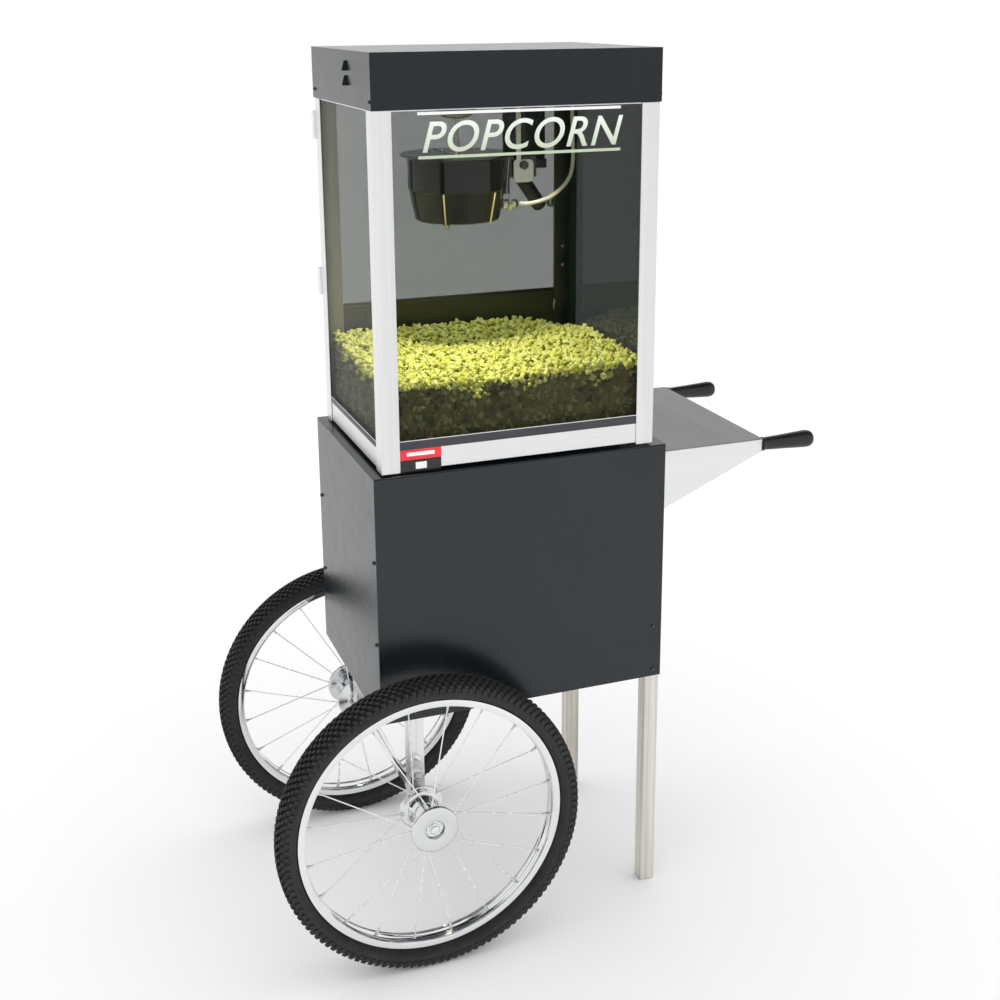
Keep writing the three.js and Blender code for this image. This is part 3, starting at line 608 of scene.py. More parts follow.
def add_hub(end, face, out, axle):
    """Hub shell with its flanges, and the spokes. Distances are outwards from the cart's face."""
    bm = bmesh.new()
    shell = [
        (6.9, 13), (18, 13), (18.6, 15.6), (37, 15.8), (38.5, 17.4), (37, 19), (29, 20.2), (24.5, 23),
        (21.5, 30), (20, 38), (20, 66), (20.6, 75), (23, 77), (23, 81.4), (37.5, 82.6), (39.8, 84.6),
        (40, 87), (39, 89.6), (36, 91), (17.4, 91), (16, 89.4), (15.6, 83.4), (6.9, 83),
    ]
    turn(bm, rounded(shell, 1.2, 2, True), "y", (axle[0], face, axle[1]), 72, sign=out)
    finish_piece(
        f"hub_shell_{end}", bm, f"wheel_{end}", "chrome", "hub_chrome", sharp=50, stands_for=f"hub_{end}")

    def point(radius, degrees, reach):
        angle = math.radians(degrees)
        return (axle[0] + radius * math.cos(angle), face + out * reach, axle[1] + radius * math.sin(angle))

    bm = bmesh.new()
    spoke_head = [(0, -1.2), (1.7, -1.1), (2.2, 0), (1.7, 1.1), (0, 1.2)]
    for i in range(SPOKES):
        outer = i % 2 == 0
        nipple = (i + 0.5) * 360 / SPOKES
        lean = nipple + (14 if i % 4 < 2 else -14)
        tip = point(199, nipple, 65 + (3 if outer else -3))
        if outer:
            foot = [point(35, lean, 82.2), point(36.5, lean, 84.4), point(38.6, lean, 84.0)]
            head = point(35, lean, 82.0)
        else:
            foot = [point(32.5, lean, 20.0), point(33.5, lean, 20.8), point(36.5, lean, 21.0)]
            head = point(32.5, lean, 19.2)
        tube(bm, [*foot, tip], 1.05, 8)
        turn(bm, spoke_head, "y", head, 10, sign=out)
    finish_piece(f"spokes_{end}", bm, f"wheel_{end}", "chrome", "spoke_chrome")


def add_axle_nut(end, face, out, axle):
    """Acorn nut on a washer, in the hub's recess."""
    bm = bmesh.new()
    at = (axle[0], face, axle[1])
    washer = [(6.5, 83.5), (12.5, 83.5), (13, 84), (12.5, 84.8), (6.5, 84.8)]
    hexagon = [(0, 84.9), (9.3, 84.9), (9.6, 85.4), (9.6, 88.4), (8.6, 89.2), (0, 89.2)]
    dome = [(0, 88.6), (7.4, 88.6), (7.5, 89.6), (7.0, 91.2), (5.4, 92.4), (3, 92.9), (0, 93)]
    for profile, segments in ((washer, 40), (hexagon, 6), (dome, 40)):
        turn(bm, profile, "y", at, segments, sign=out)
    finish_piece(f"acorn_nut_{end}", bm, "frame", "chrome", "chrome_plate", stands_for=f"axle_nut_{end}")


def add_axle(low, high, axle):
    """Rod through both hubs, with a spacer and a lock nut at each side of the cart."""
    bm = bmesh.new()
    ends = [(0, low), (5.6, low), (6.3, low + 0.8), (6.3, high - 0.8), (5.6, high), (0, high)]
    turn(bm, ends, "y", (axle[0], 0, axle[1]), 40)
    for side in (-1, 1):
        at = (axle[0], 0 if side < 0 else CART_DEPTH, axle[1])
        turn(bm, [(6.5, -1.6), (13, -1.6), (13, 5), (6.5, 5)], "y", at, 6, sign=side)
        turn(bm, [(6.5, 5.2), (9.4, 5.2), (9.4, 12.4), (6.5, 12.4)], "y", at, 32, sign=side)
    finish_piece("axle_rod", bm, "frame", "chrome", "chrome_plate", stands_for="axle")


def add_wheels():
    low, high = span("tyre_front")
    axle = ((low.x + high.x) / 2, (low.z + high.z) / 2)
    for end, out in (("front", -1), ("rear", 1)):
        low, high = span(f"tyre_{end}")
        middle = (low.y + high.y) / 2
        face = 0 if end == "front" else CART_DEPTH
        add_tyre(end, middle, axle)
        add_rim(end, middle, axle)
        add_hub(end, face, out, axle)
        add_axle_nut(end, face, out, axle)
    low, high = span("axle")
    add_axle(low.y, high.y, axle)


# ---- sheets and blocks -------------------------------------------------------------------------------
DRESSED = [  # material, radius of the edges, nodes
    ("cart_coat", 0.6, "cart_front_panel cart_left_panel cart_right_panel cart_rear_panel"),
    ("cart_coat", 0.7, "cart_top_deck cart_floor cart_door"),
    ("leg_steel", 2.2, "leg_front leg_rear"),
    ("strut_steel", 2.2, "axle_strut_front axle_strut_rear"),
    ("shelf_steel_painted_shade", 0.9, "push_shelf"),
    ("gusset_steel", 0.5, "push_gusset_front push_gusset_rear"),
    ("post_steel", 0.6, "post_front_left post_front_right post_rear_left post_rear_right"),
    ("post_steel", 0.6, "kernel_drawer stirrer"),
    ("rail_steel", 0.6, "base_pan"),
    ("rail_steel", 0.5, "ceiling_plate"),
    ("roof_coat", 1.0, "roof_cover"),
    ("dark_steel", 0.4, "deck_screen"),
    ("dark_steel", 1.2, "stir_motor"),
    ("olive_steel", 0.5, "rear_lower_panel"),
    ("front_pane", 0.5, "front_glass"),
    ("left_pane", 0.5, "left_glass"),
    ("right_pane", 0.5, "right_glass"),
    ("door_pane", 0.5, "door_glass"),
    ("chrome_plate", 0.5, "door_hinge_top door_hinge_bottom"),
    ("gloss_black", 0.9, "switch_kettle switch_light"),
    ("lid_steel", 0.7, "kettle_lid kettle_lid_flap"),
    ("kettle_enamel", 1.4, "kettle_arm"),
    ("hanger_steel", 0.5, "kettle_hanger"),
]


def dress_plain_nodes():
    for look, bevel, nodes in DRESSED:
        for node in nodes.split():
            dress(node, look, bevel)


# ---- cart --------------------------------------------------------------------------------------------
def add_cart_hardware():
    """Screws in the cart's panels, and the bolts that hold the axle struts."""
    screws("front_screws", [(484, 0, 498), (485, 0, 417), (57, 0, 415)], "-y")
    for name, wall, out in (("left_screws", 0, "-x"), ("right_screws", CART_WIDTH, "+x")):
        screws(name, [(wall, y, z) for y in (13, 357) for z in (540, 680)], out)
    screws("rear_screws", [(x, CART_DEPTH, z) for x in (14, 486) for z in (440, 600, 780)], "+y")
    bm = bmesh.new()
    head = [(0, 6.2), (7.2, 6.2), (8, 5.4), (8, 0.2), (0, 0.2)]
    for z in (303, 334):
        turn(bm, head, "y", (57, 2, z), 6, sign=-1)
        turn(bm, head, "y", (57, CART_DEPTH - 2, z), 6)
    finish_piece("strut_bolts", bm, "frame", "chrome", "chrome_plate")


def add_knob(node):
    """A turned pull with a waisted stem."""
    low, high = span(node)
    foot, length = start_of(node, "y")
    radius = (high.x - low.x) / 2
    profile = [
        (0, 0), (0.62, 0), (0.62, 0.06), (0.45, 0.12), (0.4, 0.3), (0.5, 0.46), (0.9, 0.58), (1, 0.68),
        (1, 0.84), (0.9, 0.94), (0.6, 0.99), (0, 1),
    ]
    bm = bmesh.new()
    turn(bm, [(r * radius, t * length) for r, t in rounded(profile, 0.05)], "y", foot, 48)
    body = frame["nodes"][node]["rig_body"]
    finish_piece(f"{node}_turned", bm, body, "chrome", "chrome_plate", stands_for=node)


def add_grips():
    """Rubber sleeves that swell towards their free ends."""
    for end in ("front", "rear"):
        foot, length = start_of(f"grip_{end}", "x")
        profile = [
            (6.5, 0), (11.2, 0), (11.9, 0.8), (11.9, 3.4), (11.2, 4.4), (10.9, 6), (12.6, length * 0.45),
            (14.6, length - 20), (14.9, length - 14), (14.2, length - 7), (11.5, length - 2),
            (7, length - 0.2), (0, length), (0, length - 18), (6.5, length - 18),
        ]
        bm = bmesh.new()
        turn(bm, rounded(profile, 2.5), "x", foot, 56)
        name, node = f"grip_{end}_sleeve", f"grip_{end}"
        finish_piece(name, bm, "frame", "grip_rubber", "grip_black", sharp=50, stands_for=node)


# ---- cabinet -----------------------------------------------------------------------------------------
def add_glazing():
    """Channels with a bright bead along the foot of the glass, and strips inside the rear posts."""
    left, front, _ = span("post_front_left")[0]
    right, back, _ = span("post_rear_right")[1]
    base = span("base_pan")[1].z + 0.2
    bm = bmesh.new()
    slab(bm, (left + 30.2, front + 0.3, base), (right - 30.2, front + 1.9, base + 13.5), 0.4)
    slab(bm, (left + 30.2, front, base + 13.6), (right - 30.2, front + 1.9, base + 15), 0.3, 2, 1)
    for x0, x1 in ((left + 0.3, left + 1.9), (right - 1.9, right - 0.3)):
        slab(bm, (x0, front + 30.2, base), (x1, back - 30.2, base + 9), 0.4)
        slab(bm, (x0, front + 30.2, base + 9.1), (x1, back - 30.2, base + 10.4), 0.3, 2, 1)
    finish_piece("glazing_channels", bm, "frame", "black_plastic", "channel_black", "bead_metal")
    bm = bmesh.new()
    top = span("ceiling_plate")[0].z - 0.5
    slab(bm, (right - 34, back - 7.5, base + 3), (right - 7, back - 2.2, top), 0.8)
    slab(bm, (left + 7, back - 7.5, base + 3), (left + 34, back - 2.2, top), 0.8, 2, 1)
    finish_piece("rear_post_strips", bm, "frame", "black_plastic", "olive_steel", "grey_steel")
    bm = bmesh.new()
    sill = span("rear_lower_panel")[1].z
    slab(bm, (left + 30.5, back - 1.6, sill - 14), (right - 30.5, back + 1.6, sill + 5.5), 0.6)
    finish_piece("door_seal", bm, "frame", "black_plastic", "olive_steel")
    spots = [(right - 18, back - 7.5, z) for z in (1067, 1101, 1300)]
    screws("strip_screws", spots, "-y", 2.6, "chrome", "dull_screw")
    bm = bmesh.new()
    slab(bm, (right - 37, back - 9.5, 987), (right - 33, back - 7.4, 1006), 0.7)
    turn(bm, [(0, -13), (2.4, -12.6), (2.8, -9), (0, -9)], "y", (right - 35, back, 1001), 16)
    finish_piece("door_catch", bm, "frame", "chrome", "bright_fitting")


def add_badge():
    """A blank two-colour plate on the front rail."""
    front = span("base_pan")[0].y
    bm = bmesh.new()
    slab(bm, (45.6, front - 0.9, 844.4), (112, front - 0.1, 862.6), 0.3)
    slab(bm, (45.6, front - 0.9, 823.4), (112, front - 0.1, 844.2), 0.3, 2, 1)
    slab(bm, (56, front - 1.1, 850.6), (101, front - 0.85, 856.6), 0.2, 1, 2)
    slab(bm, (70, front - 1.1, 829), (88, front - 0.85, 840), 0.2, 1, 2)
    finish_piece("badge_plate", bm, "frame", "black_plastic", "badge_red", "gloss_black", "white_print")


DECAL_WORD = "POPCORN"


def add_decal():
    """Two lines with the plain word between them, printed on the front glass."""
    front = span("front_glass")[0].y
    bm = bmesh.new()
    for foot in (1369.6, 1305.6):
        slab(bm, (85, front - 0.5, foot), (412, front - 0.05, foot + 4.4), 0.15, 1)
    finish_piece("decal_lines", bm, "frame", "tinted_glass", "decal_ink")
    curve = bpy.data.curves.new("decal_word", "FONT")
    curve.body = DECAL_WORD
    curve.size = 0.064
    curve.shear = 0.28
    curve.space_character = 1.08
    curve.offset = 0.0004
    curve.extrude = 0.0002
    curve.align_x = "CENTER"
    text = add_object("decal_word_source", curve)
    bpy.context.view_layer.update()
    mesh = bpy.data.meshes.new_from_object(text.evaluated_get(bpy.context.evaluated_depsgraph_get()))
    bpy.data.objects.remove(text)
    place = Matrix.Translation(to_frame((248, front - 0.3, 1315.5)))
    mesh.transform(place @ Matrix.Rotation(math.pi / 2, 4, "X"))
    mesh.materials.clear()
    mesh.materials.append(LOOKS["decal_ink"])
    word = add_object("decal_word", mesh)
    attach(word, "frame")


SCOOP_REACH = 4.5  # how far the scoops stand out from the roof's left wall in the CAD


def add_roof_details():
    """Screws along the roof's skirt, and a hood with a dark mouth over each pressed scoop."""
    low, high = span("roof_cover")
    wall = low.x + SCOOP_REACH
    screws("roof_screws_left", [(wall, 9, 1390), (wall, 346, 1392)], "-x", 2.8)
    screws("roof_screws_right", [(high.x, 9, 1390), (high.x, 346, 1392)], "+x", 2.8)
    bm = bmesh.new()
    front = 137.4
    for foot in (1430, 1408):
        corners = [
            (wall, front, foot - 0.6), (wall - 7.2, front, foot), (wall - 3.2, front, foot + 14.6),
            (wall, front, foot + 15), (wall, 158, foot + 6),
        ]
        add_mesh(bm, corners, [(1, 4, 2), (2, 4, 3), (0, 4, 1), (0, 3, 4), (0, 2, 3)])
        add_mesh(bm, corners, [(0, 1, 2)], 1)
    bmesh.ops.remove_doubles(bm, verts=bm.verts, dist=1e-6)
    finish_piece("scoop_hoods", bm, "frame", "black_sheet", "roof_coat", "gloss_black", sharp=20)


def add_fittings():
    """Bezels round the switches, the power inlet and the lamp."""
    bm = bmesh.new()
    wall = span("roof_cover")[1].y
    for node in ("switch_kettle", "switch_light"):
        low, high = span(node)
        x0, x1 = low.x - 1.4, high.x + 1.4
        z0, z1 = 1404.6, 1435.4
        for a, b in (((x0 - 3, z0 - 3), (x0, z1 + 3)), ((x1, z0 - 3), (x1 + 3, z1 + 3)),
                     ((x0, z0 - 3), (x1, z0)), ((x0, z1), (x1, z1 + 3))):
            slab(bm, (a[0], wall + 0.1, a[1]), (b[0], wall + 2.2, b[1]), 0.5)
    finish_piece("switch_bezels", bm, "frame", "black_plastic", "gloss_black")

    bm = bmesh.new()
    profile = [
        (0, 0), (7.5, 0), (7.5, 9.2), (14, 9.4), (14, 12.5), (12.5, 13), (9.4, 13.8), (8.6, 20),
        (9, 20.4), (8.4, 22), (8.8, 22.4), (8.2, 24), (8.4, 24.6), (7.4, 28), (4.6, 28), (4.6, 14), (0, 14),
    ]
    turn(bm, profile, "y", start_of("power_inlet", "y")[0], 40)
    finish_piece("inlet_gland", bm, "frame", "black_plastic", "black_plastic", stands_for="power_inlet")

    foot, height = start_of("lamp", "z")
    bm = bmesh.new()
    profile = [(0, -15.7), (8, -15.3), (16, -14), (23, -11), (28, -6.5), (30, -2), (30, 0), (0, 0)]
    turn(bm, profile, "z", (foot.x, foot.y, foot.z + height), 48)
    finish_piece("lamp_dome", bm, "frame", "lamp_glass", "lamp_dome", stands_for="lamp")


# ---- kettle ------------------------------------------------------------------------------------------
def ray_at(azimuth):
    """A level unit vector at this many degrees from X."""
    angle = math.radians(azimuth)
    return Vector((math.cos(angle), math.sin(angle), 0))


def add_kettle():
    """Pot with its cone foot, the straps and studs on it, and the lid's hinge knuckles."""
    centre, height = start_of("kettle_shell", "z")
    bm = bmesh.new()
    profile = [
        (0, 0), (60, 0), (67, 1.2), (69.3, 4), (69.8, 6.5), (77.3, 49), (77.7, 51.4), (79.4, 52),
        (79.5, 54), (79.5, height - 6), (79.5, height - 4), (80.6, height - 3), (82.5, height - 1.6),
        (82.3, height), (79, height), (76.6, height - 2), (76.5, 53), (66.6, 7), (62, 5.6), (0, 5.6),
    ]
    turn(bm, rounded(profile, 0.8, 2), "z", centre, 96)
    shoulder = to_frame((0, 0, centre.z + 51.7)).z
    # Faces below the shoulder take a lighter copy of the enamel: a painted sheen on the cone.
    for face in bm.faces:
        face.material_index = 1 if face.calc_center_median().z < shoulder else 0
    looks = ("kettle_enamel", "kettle_cone_painted_sheen")
    finish_piece("kettle_pot", bm, "kettle", "kettle_enamel", *looks, sharp=50, stands_for="kettle_shell")

    bm = bmesh.new()
    strap = ((79.9, 49), (74.8, 25), (70.2, 3.5), (68.4, 0.4))
    for azimuth in (-124.3, -59.1, 20, 150):  # bright straps down the cone
        tube(bm, [centre + ray_at(azimuth) * r + Vector((0, 0, z)) for r, z in strap], 1.3, 8)
    stud = [(0, -7), (3, -6.6), (3.2, -3), (5, -2.8), (5, -0.2), (0, -0.2)]
    for azimuth in (-124.3, 60):
        turn(bm, stud, "z", centre + ray_at(azimuth) * 62, 16)
    finish_piece("kettle_straps", bm, "kettle", "kettle_enamel", "brass_strap")

    bm = bmesh.new()
    low, high = span("kettle_lid")
    at = (low.x + 1.5, centre.y, high.z + 1.7)
    for start in range(-60, 61, 24):
        disc(bm, 1.6, start, start + 10, "y", at, 16)
    finish_piece("lid_hinge_knuckles", bm, "kettle", "stainless", "post_steel")


def add_kettle_mount():
    """Pivot bolt and the hanger's plate on the machine, handle on the kettle."""
    bm = bmesh.new()
    at, length = start_of("kettle_pivot_bolt", "y")
    turn(bm, [(0, 0.4), (6.6, 0.4), (7.8, 1.6), (7.8, 4.8), (0, 4.8)], "y", at, 6)
    disc(bm, 4.8, 4.9, length - 6, "y", at, 24)
    nut = [(0, length - 6), (7.8, length - 6), (7.8, length - 1), (6.6, length), (0, length)]
    turn(bm, nut, "y", at, 6)
    finish_piece("pivot_bolt", bm, "frame", "chrome", "dark_steel", stands_for="kettle_pivot_bolt")
    bm = bmesh.new()
    slab(bm, (304, 236, 1263), (380, 238.5, 1375.3), 0.8)
    finish_piece("hanger_backplate", bm, "frame", "black_sheet", "bracket_coat")

    bm = bmesh.new()
    slab(bm, (322.2, span("kettle_handle")[0].y + 0.2, 1264.2), (358.8, 229.8, 1279.8), 2.5, 3)
    tube(bm, [(345, 222, 1267), (340, 222, 1253), (334, 222, 1238)], 6, 16)
    start, end = Vector((326, 222, 1252.5)), Vector((368.5, 222, 1190.4))
    axis = (end - start).normalized()
    path, radii = [], []
    for t in (0, 0.5, 2, 5, 9, 14, 30, 45, 60, 66, 70, 73, 74.7, 75.2):
        path.append(start + axis * t)
        edge = min(t, 75.2 - t)
        radii.append(12 * math.sqrt(max(0.01, 1 - max(0, 1 - edge / 8) ** 2)))
    tube(bm, path, radii, 28)
    finish_piece("kettle_grip", bm, "kettle", "black_plastic", "black_plastic", stands_for="kettle_handle")


CONDUIT_ROUTE = [
    (299, 1208.5), (323, 1207.5), (350, 1212), (369, 1220), (386, 1233), (397, 1247), (402, 1262),
    (404, 1284), (403, 1315), (402, 1345), (402, 1364),
]
CONDUIT_Y = 172


def smooth_path(points, steps):
    """Points along a Catmull-Rom curve through the ones given."""
    points = [Vector(p) for p in points]
    padded = [2 * points[0] - points[1], *points, 2 * points[-1] - points[-2]]
    out = []
    for a, b, c, d in zip(padded, padded[1:], padded[2:], padded[3:]):
        for i in range(steps):
            t = i / steps
            square, cube = 2 * a - 5 * b + 4 * c - d, 3 * b - a - 3 * c + d
            out.append(0.5 * (2 * b + (c - a) * t + square * t * t + cube * t ** 3))
    out.append(points[-1])
    return out


def add_conduit():
    """Ribbed metal conduit from the kettle's elbow up to the ceiling."""
    path = smooth_path([(x, CONDUIT_Y, z) for x, z in CONDUIT_ROUTE], 16)
    radii = [3.6 if i % 2 else 2.5 for i in range(len(path))]
    bm = bmesh.new()
    tube(bm, path, radii, 14)
    conduit = finish_piece(
        "conduit_hose", bm, None, "stainless", "conduit_metal", sharp=60, stands_for="kettle_conduit")
    top, foot = to_frame((402, CONDUIT_Y, 1330)), to_frame((305, CONDUIT_Y, 1209))
    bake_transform(conduit)
    bm = bmesh.new()
    at = (0, CONDUIT_Y, 1208.8)
    turn(bm, rounded([(0, 277.5), (8, 277.5), (8, 286), (0, 286)], 0.8), "x", at, 32)
    disc(bm, 10, 286.2, 293, "x", at, 6)
    turn(bm, [(0, 293.2), (6, 293.2), (7, 297), (7, 301), (4.6, 305), (0, 305)], "x", at, 32)
    slab(bm, (289, CONDUIT_Y - 3, 1200), (293, CONDUIT_Y + 3, 1220), 0.8)
    tube(bm, [(284, 167.05, 1218), (285, 167.05, 1250), (288, 167.05, 1284)], 0.95, 10)
    finish_piece("conduit_elbow", bm, "kettle", "chrome", "bright_fitting")
    bm = bmesh.new()
    top = (402, CONDUIT_Y, 0)
    turn(bm, [(0, 1363), (6, 1363), (6.5, 1366), (0, 1366)], "z", top, 32)
    disc(bm, 9, 1366.2, 1372, "z", top, 6)
    disc(bm, 11, 1372.2, 1375.4, "z", top)
    finish_piece("conduit_top_fitting", bm, "frame", "chrome", "bright_fitting")


def add_drive_rod():
    """Rod that stands from the kettle's coupling up to the motor."""
    foot, length = start_of("drive_shaft", "z")
    bm = bmesh.new()
    profile = [
        (0, 0), (5.4, 0), (6, 0.6), (6, 9.4), (5.4, 10.4), (4, 11.6), (4, length - 0.5), (3.5, length),
        (0, length),
    ]
    turn(bm, profile, "z", foot, 40)
    finish_piece("drive_rod", bm, "drive", "chrome", "pale_rod_painted_light", stands_for="drive_shaft")


# ---- popcorn -----------------------------------------------------------------------------------------
KERNEL = 8.6  # mean radius
KERNEL_PITCH = 13.8  # between neighbours in a row
ROW_PITCH = KERNEL_PITCH * 0.87  # between rows
HEAP_LEVEL = 968  # height of the heap along its front
KERNELS_A_MESH = 600  # the most kernels in one mesh; keeps each mesh under the exporter's limit


def kernel_shape(rng, fineness):
    """Points and faces of one popped kernel: a ball with round lobes swelling out of it."""
    bm = bmesh.new()
    bmesh.ops.create_icosphere(bm, subdivisions=fineness, radius=1)
    points = np.array([v.co for v in bm.verts])
    faces = np.array([[v.index for v in f.verts] for f in bm.faces])
    bm.free()
    lobes = rng.normal(size=(rng.integers(9, 13), 3))
    lobes /= np.linalg.norm(lobes, axis=1)[:, None]
    sizes = rng.uniform(0.24, 0.36, len(lobes))
    reach = rng.uniform(0.58, 0.8, len(lobes))
    radius = np.full(len(points), 0.4)
    for lobe, size, far in zip(lobes, sizes, reach):
        along = points @ lobe * far
        inside = size ** 2 - (far ** 2 - along ** 2)
        hit = np.where(inside > 0, along + np.sqrt(np.maximum(inside, 0)), 0)
        radius = np.maximum(radius, hit)
    radius *= rng.uniform(0.93, 1.06, len(points))
    return points * radius[:, None], faces


def heap_height(u, v):
    """The CAD heap's own surface."""
    mound = 8 * np.exp(-((u - 0.92) ** 2 + (v - 0.6) ** 2) * 10)
    hollow = 12 * np.exp(-((u - 0.42) ** 2) * 16 - (v - 0.68) ** 2 * 30)
    bank = 6 * np.exp(-((u - 0.35) ** 2) * 8 - (v - 1) ** 2 * 30)
    slump = 20 * np.exp(-((u - 1) ** 2) * 60 - (v - 1) ** 2 * 25) + 7 * v * np.exp(-((u - 1) ** 2) * 30)
    return HEAP_LEVEL + 14 * v + mound - hollow + bank - slump + 4 * np.sin(7 * u + 2) * np.cos(5 * v)


def kernel_places(rng):
    """Centres of the kernels, each with a painted shade from 0 to 1: on the heap's top, just under those, and
    against the glass.
    """
    low, high = span("popcorn_heap")
    inset = KERNEL + 0.6
    x0, x1, y0, y1 = low.x + inset, high.x - inset, low.y + inset, high.y - inset
    crest, buried, sides = [], [], []

    def put(places, x, y, z, painted_shade):
        x, y = min(max(x, x0), x1), min(max(y, y0), y1)
        places.append((x, y, z, painted_shade))

    def top(x, y):
        u, v = (x - low.x) / (high.x - low.x), (y - low.y) / (high.y - low.y)
        return heap_height(u, v) - KERNEL

    columns = int((x1 - x0) / KERNEL_PITCH)
    rows = int((y1 - y0) / ROW_PITCH)
    for layer, drop in ((0, 0), (1, 9.5)):
        for j in range(rows + 1):
            for i in range(columns + 1):
                x = x0 + (i + 0.5 * (j % 2) + 0.3 * layer) * KERNEL_PITCH + rng.uniform(-3, 3)
                y = y0 + (j + 0.4 * layer) * ROW_PITCH + rng.uniform(-3, 3)
                z = top(x, y) - drop + rng.uniform(-3.5, 3)
                # The layer under the top gets a painted shade of 0.35, for darker gaps between the top
                # kernels; the top layer gets none.
                put(buried if layer else crest, x, y, z, 0.35 * layer)
    floor = low.z + KERNEL + 0.5
    for side in ("front", "left", "right"):
        run = (x1 - x0) if side == "front" else (y1 - y0)
        for k in range(int(run / KERNEL_PITCH) + 1):
            level = 0
            while True:
                along = (k + 0.5 * (level % 2)) * KERNEL_PITCH + rng.uniform(-2.5, 2.5)
                inward = rng.uniform(0, 4)
                if side == "front":
                    x, y = x0 + along, y0 + inward
                else:
                    x, y = (x0 + inward if side == "left" else x1 - inward), y0 + along
                z = floor + level * ROW_PITCH + rng.uniform(-1.5, 1.5)
                under = top(x, y) - z
                if under < 6:
                    break
                # Painted shade on the kernels against the glass: it deepens below the heap's top, over a wavy,
                # jagged edge.
                shade = (under - 8 - 9 * math.sin(along / 17) - rng.uniform(-12, 12)) / 9
                put(sides, x, y, max(z, floor), min(1.0, max(0.0, shade)))
                level += 1
    return crest, buried, sides


def add_kernels(name, places, shapes, rng):
    """One mesh of many kernels, each turned and sized at random, with each kernel's tone and painted shade
    kept on its points.
    """
    points, faces, tones, painted_shades = [], [], [], []
    count = 0
    for x, y, z, painted_shade in places:
        shape, triangles = shapes[rng.integers(len(shapes))]
        turn_by, _ = np.linalg.qr(rng.normal(size=(3, 3)))
        if np.linalg.det(turn_by) < 0:
            turn_by[:, 0] *= -1
        size = KERNEL * rng.uniform(0.86, 1.06)
        points.append((shape @ turn_by.T) * size + (x, y, z))
        faces.append(triangles + count)
        tones.append(np.full(len(shape), rng.uniform(0, 1)))
        painted_shades.append(np.full(len(shape), painted_shade))
        count += len(shape)
    points = np.concatenate(points) * MM + np.array(CORNER)
    mesh = bpy.data.meshes.new(name)
    mesh.from_pydata(points.tolist(), [], np.concatenate(faces).tolist())
    for layer_name, values in (("tone", tones), ("painted_shade", painted_shades)):
        layer = mesh.attributes.new(layer_name, "FLOAT", "POINT")
        layer.data.foreach_set("value", np.concatenate(values).astype(np.float32))
    mesh.materials.append(LOOKS["popped_corn"])
    mesh.shade_smooth()
    kernels = add_object(name, mesh)
    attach(kernels, "frame")


def add_popcorn():
    """Loose kernels, in a few meshes so that none grows too large to export."""
    rng = np.random.default_rng(7)
    fine = [kernel_shape(rng, 3) for _ in range(12)]
    coarse = [kernel_shape(rng, 2) for _ in range(5)]
    crest, buried, sides = kernel_places(rng)
    for name, places in (("popped_crest", crest), ("popped_sides", sides)):
        for part, first in enumerate(range(0, len(places), KERNELS_A_MESH), 1):
            add_kernels(f"{name}_{part}", places[first:first + KERNELS_A_MESH], fine, rng)
    add_kernels("popped_under_layer", buried, coarse, rng)


def add_popcorn_core():
    """A closed block under the kernels, whose top follows the heap. Its dark brown colour is painted shade for
    the gaps deep between the kernels.
    """
    low, high = span("popcorn_heap")
    bm = bmesh.new()
    cells = 24
    size = cells + 1
    inset = 9
    corners = []
    for level in (0, 1):
        for j in range(size):
            for i in range(size):
                u, v = i / cells, j / cells
                x = low.x + inset + u * (high.x - low.x - 2 * inset)
                y = low.y + inset + v * (high.y - low.y - 2 * inset)
                z = float(heap_height(u, v)) - 2.2 * KERNEL if level else low.z + 0.4
                corners.append((x, y, z))
    quads = []
    for j in range(cells):
        for i in range(cells):
            a = j * size + i
            quads.append((a, a + size, a + size + 1, a + 1))
            b = a + size * size
            quads.append((b, b + 1, b + size + 1, b + size))
    for i in range(cells):
        for a, b in ((i, i + 1), (cells * size + i + 1, cells * size + i), ((i + 1) * size, i * size),
                     (i * size + cells, (i + 1) * size + cells)):
            quads.append((a, b, b + size * size, a + size * size))
    add_mesh(bm, corners, quads)
    finish_piece("popcorn_core_painted_shade", bm, "frame", "popcorn", "popcorn_core_painted_shade", stands_for="popcorn_heap")


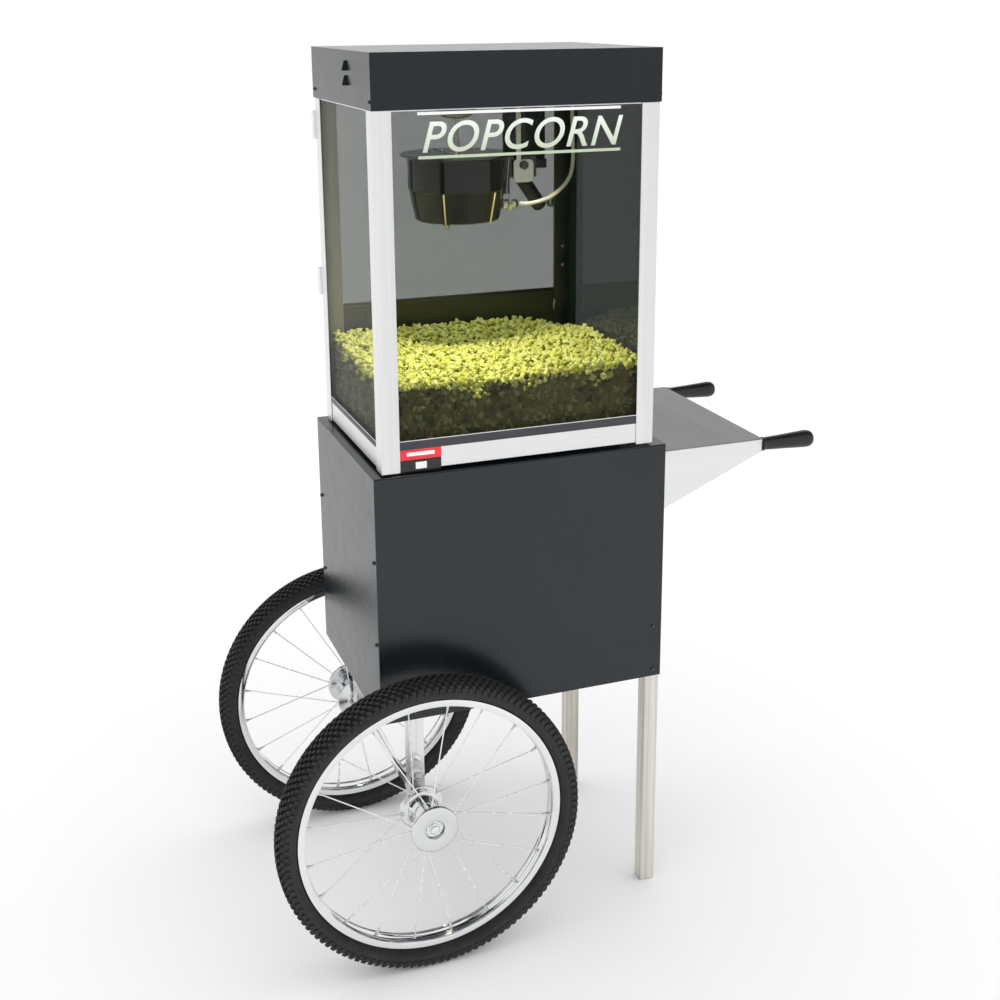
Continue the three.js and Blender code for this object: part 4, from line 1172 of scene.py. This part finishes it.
# ---- build -------------------------------------------------------------------------------------------
def make_materials():
    start("pale_floor", (0.95, 0.95, 0.95), 0.9, mirror=0.0)
    powder_coat("cart_coat", (0.003, 0.0062, 0.0092), (0.006, 0.0105, 0.0145))
    powder_coat("roof_coat", (0.002, 0.0055, 0.009), (0.0045, 0.009, 0.0135), (0.2, 0.24), 0.36)
    brushed("leg_steel", (0.42, 0.38, 0.33), (0.78, 0.75, 0.7), (0.22, 0.34), streaks=160)
    brushed("strut_steel", (0.7, 0.71, 0.71), (0.9, 0.91, 0.91), (0.14, 0.24))
    # Much darker than the gussets' steel: painted shade for the darker reflection on the shelf's top.
    brushed("shelf_steel_painted_shade", (0.27, 0.27, 0.27), (0.3, 0.3, 0.3), (0.4, 0.5), "y")
    brushed("gusset_steel", (0.77, 0.77, 0.775), (0.8, 0.8, 0.805), (0.4, 0.5), "x")
    brushed("post_steel", (0.72, 0.72, 0.725), (0.8, 0.8, 0.805), (0.3, 0.42))
    brushed("rail_steel", (0.73, 0.73, 0.73), (0.79, 0.79, 0.79), (0.3, 0.42), "x")
    brushed("dark_steel", (0.12, 0.12, 0.11), (0.22, 0.22, 0.2), (0.3, 0.45), "x")
    brushed("olive_steel", (0.05, 0.052, 0.03), (0.085, 0.085, 0.05), (0.34, 0.46), "x")
    brushed("hanger_steel", (0.62, 0.66, 0.5), (0.8, 0.84, 0.66), (0.25, 0.4))
    brushed("lid_steel", (0.15, 0.17, 0.155), (0.24, 0.26, 0.24), (0.18, 0.28), "y")
    chrome("conduit_metal", (0.86, 0.88, 0.7), (0.3, 0.42), 0.25)
    chrome("bright_fitting", (0.85, 0.86, 0.75), (0.08, 0.2))
    # Pale and not metal, so the rod reads bright: painted light on a rod that the lamp dome shades.
    chrome("pale_rod_painted_light", (0.95, 0.95, 0.74), (0.25, 0.36), 0.0)
    chrome("brass_strap", (0.5, 0.47, 0.22), (0.25, 0.36), 0.5)
    powder_coat("bracket_coat", (0.02, 0.026, 0.022), (0.03, 0.036, 0.03))
    brushed("grey_steel", (0.36, 0.35, 0.29), (0.42, 0.41, 0.35), (0.5, 0.6), metallic=0.2)
    chrome("chrome_plate")
    chrome("hub_chrome", (0.79, 0.8, 0.81), (0.07, 0.16))
    chrome("spoke_chrome", (0.86, 0.87, 0.88), (0.2, 0.32), 0.45)
    chrome("nipple_chrome", (0.72, 0.73, 0.74), (0.2, 0.3), 0.6)
    chrome("bead_metal", (0.8, 0.8, 0.8), (0.2, 0.3))
    rubber("tyre_black", (0.008, 0.008, 0.008), (0.016, 0.016, 0.016), (0.55, 0.75))
    rubber("grip_black", (0.004, 0.004, 0.006), (0.008, 0.007, 0.01), (0.3, 0.4), 1500, 0.06)
    pane("front_pane", (0.002, 0.004, 0.002), 0.62, 0.1)
    pane("left_pane", (0.02, 0.02, 0.012), 0.56, 0.1)
    pane("right_pane", (0.008, 0.024, 0.013), 0.05, 0.3)
    pane("door_pane", (0.025, 0.105, 0.055), 0.29, 0.15)
    enamel("kettle_enamel", (0.004, 0.004, 0.003), (0.028, 0.03, 0.016), 0.8)
    # A lighter copy of the kettle's enamel: painted sheen on the cone.
    enamel("kettle_cone_painted_sheen", (0.014, 0.013, 0.004), (0.07, 0.072, 0.03), 0.4)
    plastic("black_plastic", (0.012, 0.012, 0.013))
    plastic("gloss_black", (0.008, 0.008, 0.009), (0.12, 0.2), 600, 0.03)
    plastic("channel_black", (0.03, 0.03, 0.038), (0.35, 0.5))
    plastic("badge_red", (0.75, 0.02, 0.03), (0.25, 0.35), 500, 0.03)
    plastic("white_print", (0.8, 0.8, 0.8), (0.3, 0.4), 500, 0.03)
    plastic("screw_black", (0.02, 0.02, 0.022), (0.3, 0.4), 900, 0.1)
    plastic("screw_mark", (0.09, 0.09, 0.095), (0.4, 0.5), 900, 0.1)
    chrome("dull_screw", (0.45, 0.45, 0.36), (0.25, 0.4))
    plastic("lamp_dome", (0.2, 0.21, 0.18), (0.2, 0.3), 300, 0.02)
    decal_ink()
    popped_corn()
    # Dark brown: painted shade for the popcorn deep in the heap, under the kernels.
    rubber("popcorn_core_painted_shade", (0.1, 0.08, 0.03), (0.16, 0.13, 0.05), (0.8, 0.9))


bpy.context.scene.view_settings.view_transform = "Standard"
add_camera()
add_world()
make_materials()
add_floor()
add_wheels()
dress_plain_nodes()
add_cart_hardware()
add_knob("cart_door_knob")
add_knob("door_knob")
add_grips()
add_glazing()
add_badge()
add_decal()
add_roof_details()
add_fittings()
add_kettle()
add_kettle_mount()
add_conduit()
add_drive_rod()
add_popcorn()
add_popcorn_core()

fill = add_spot_light("chamber_fill", FILL_AT, FILL_AIM, 130, 0.05, FILL_POWER, (1, 1, 0.9))
glow = add_spot_light("lamp_glow", LAMP_AT, LAMP_AIM, 96, 0.018, LAMP_POWER, (1, 0.9, 0.76))
for light in (glow, fill):
    leave_out(light, OUT_OF_LAMP)
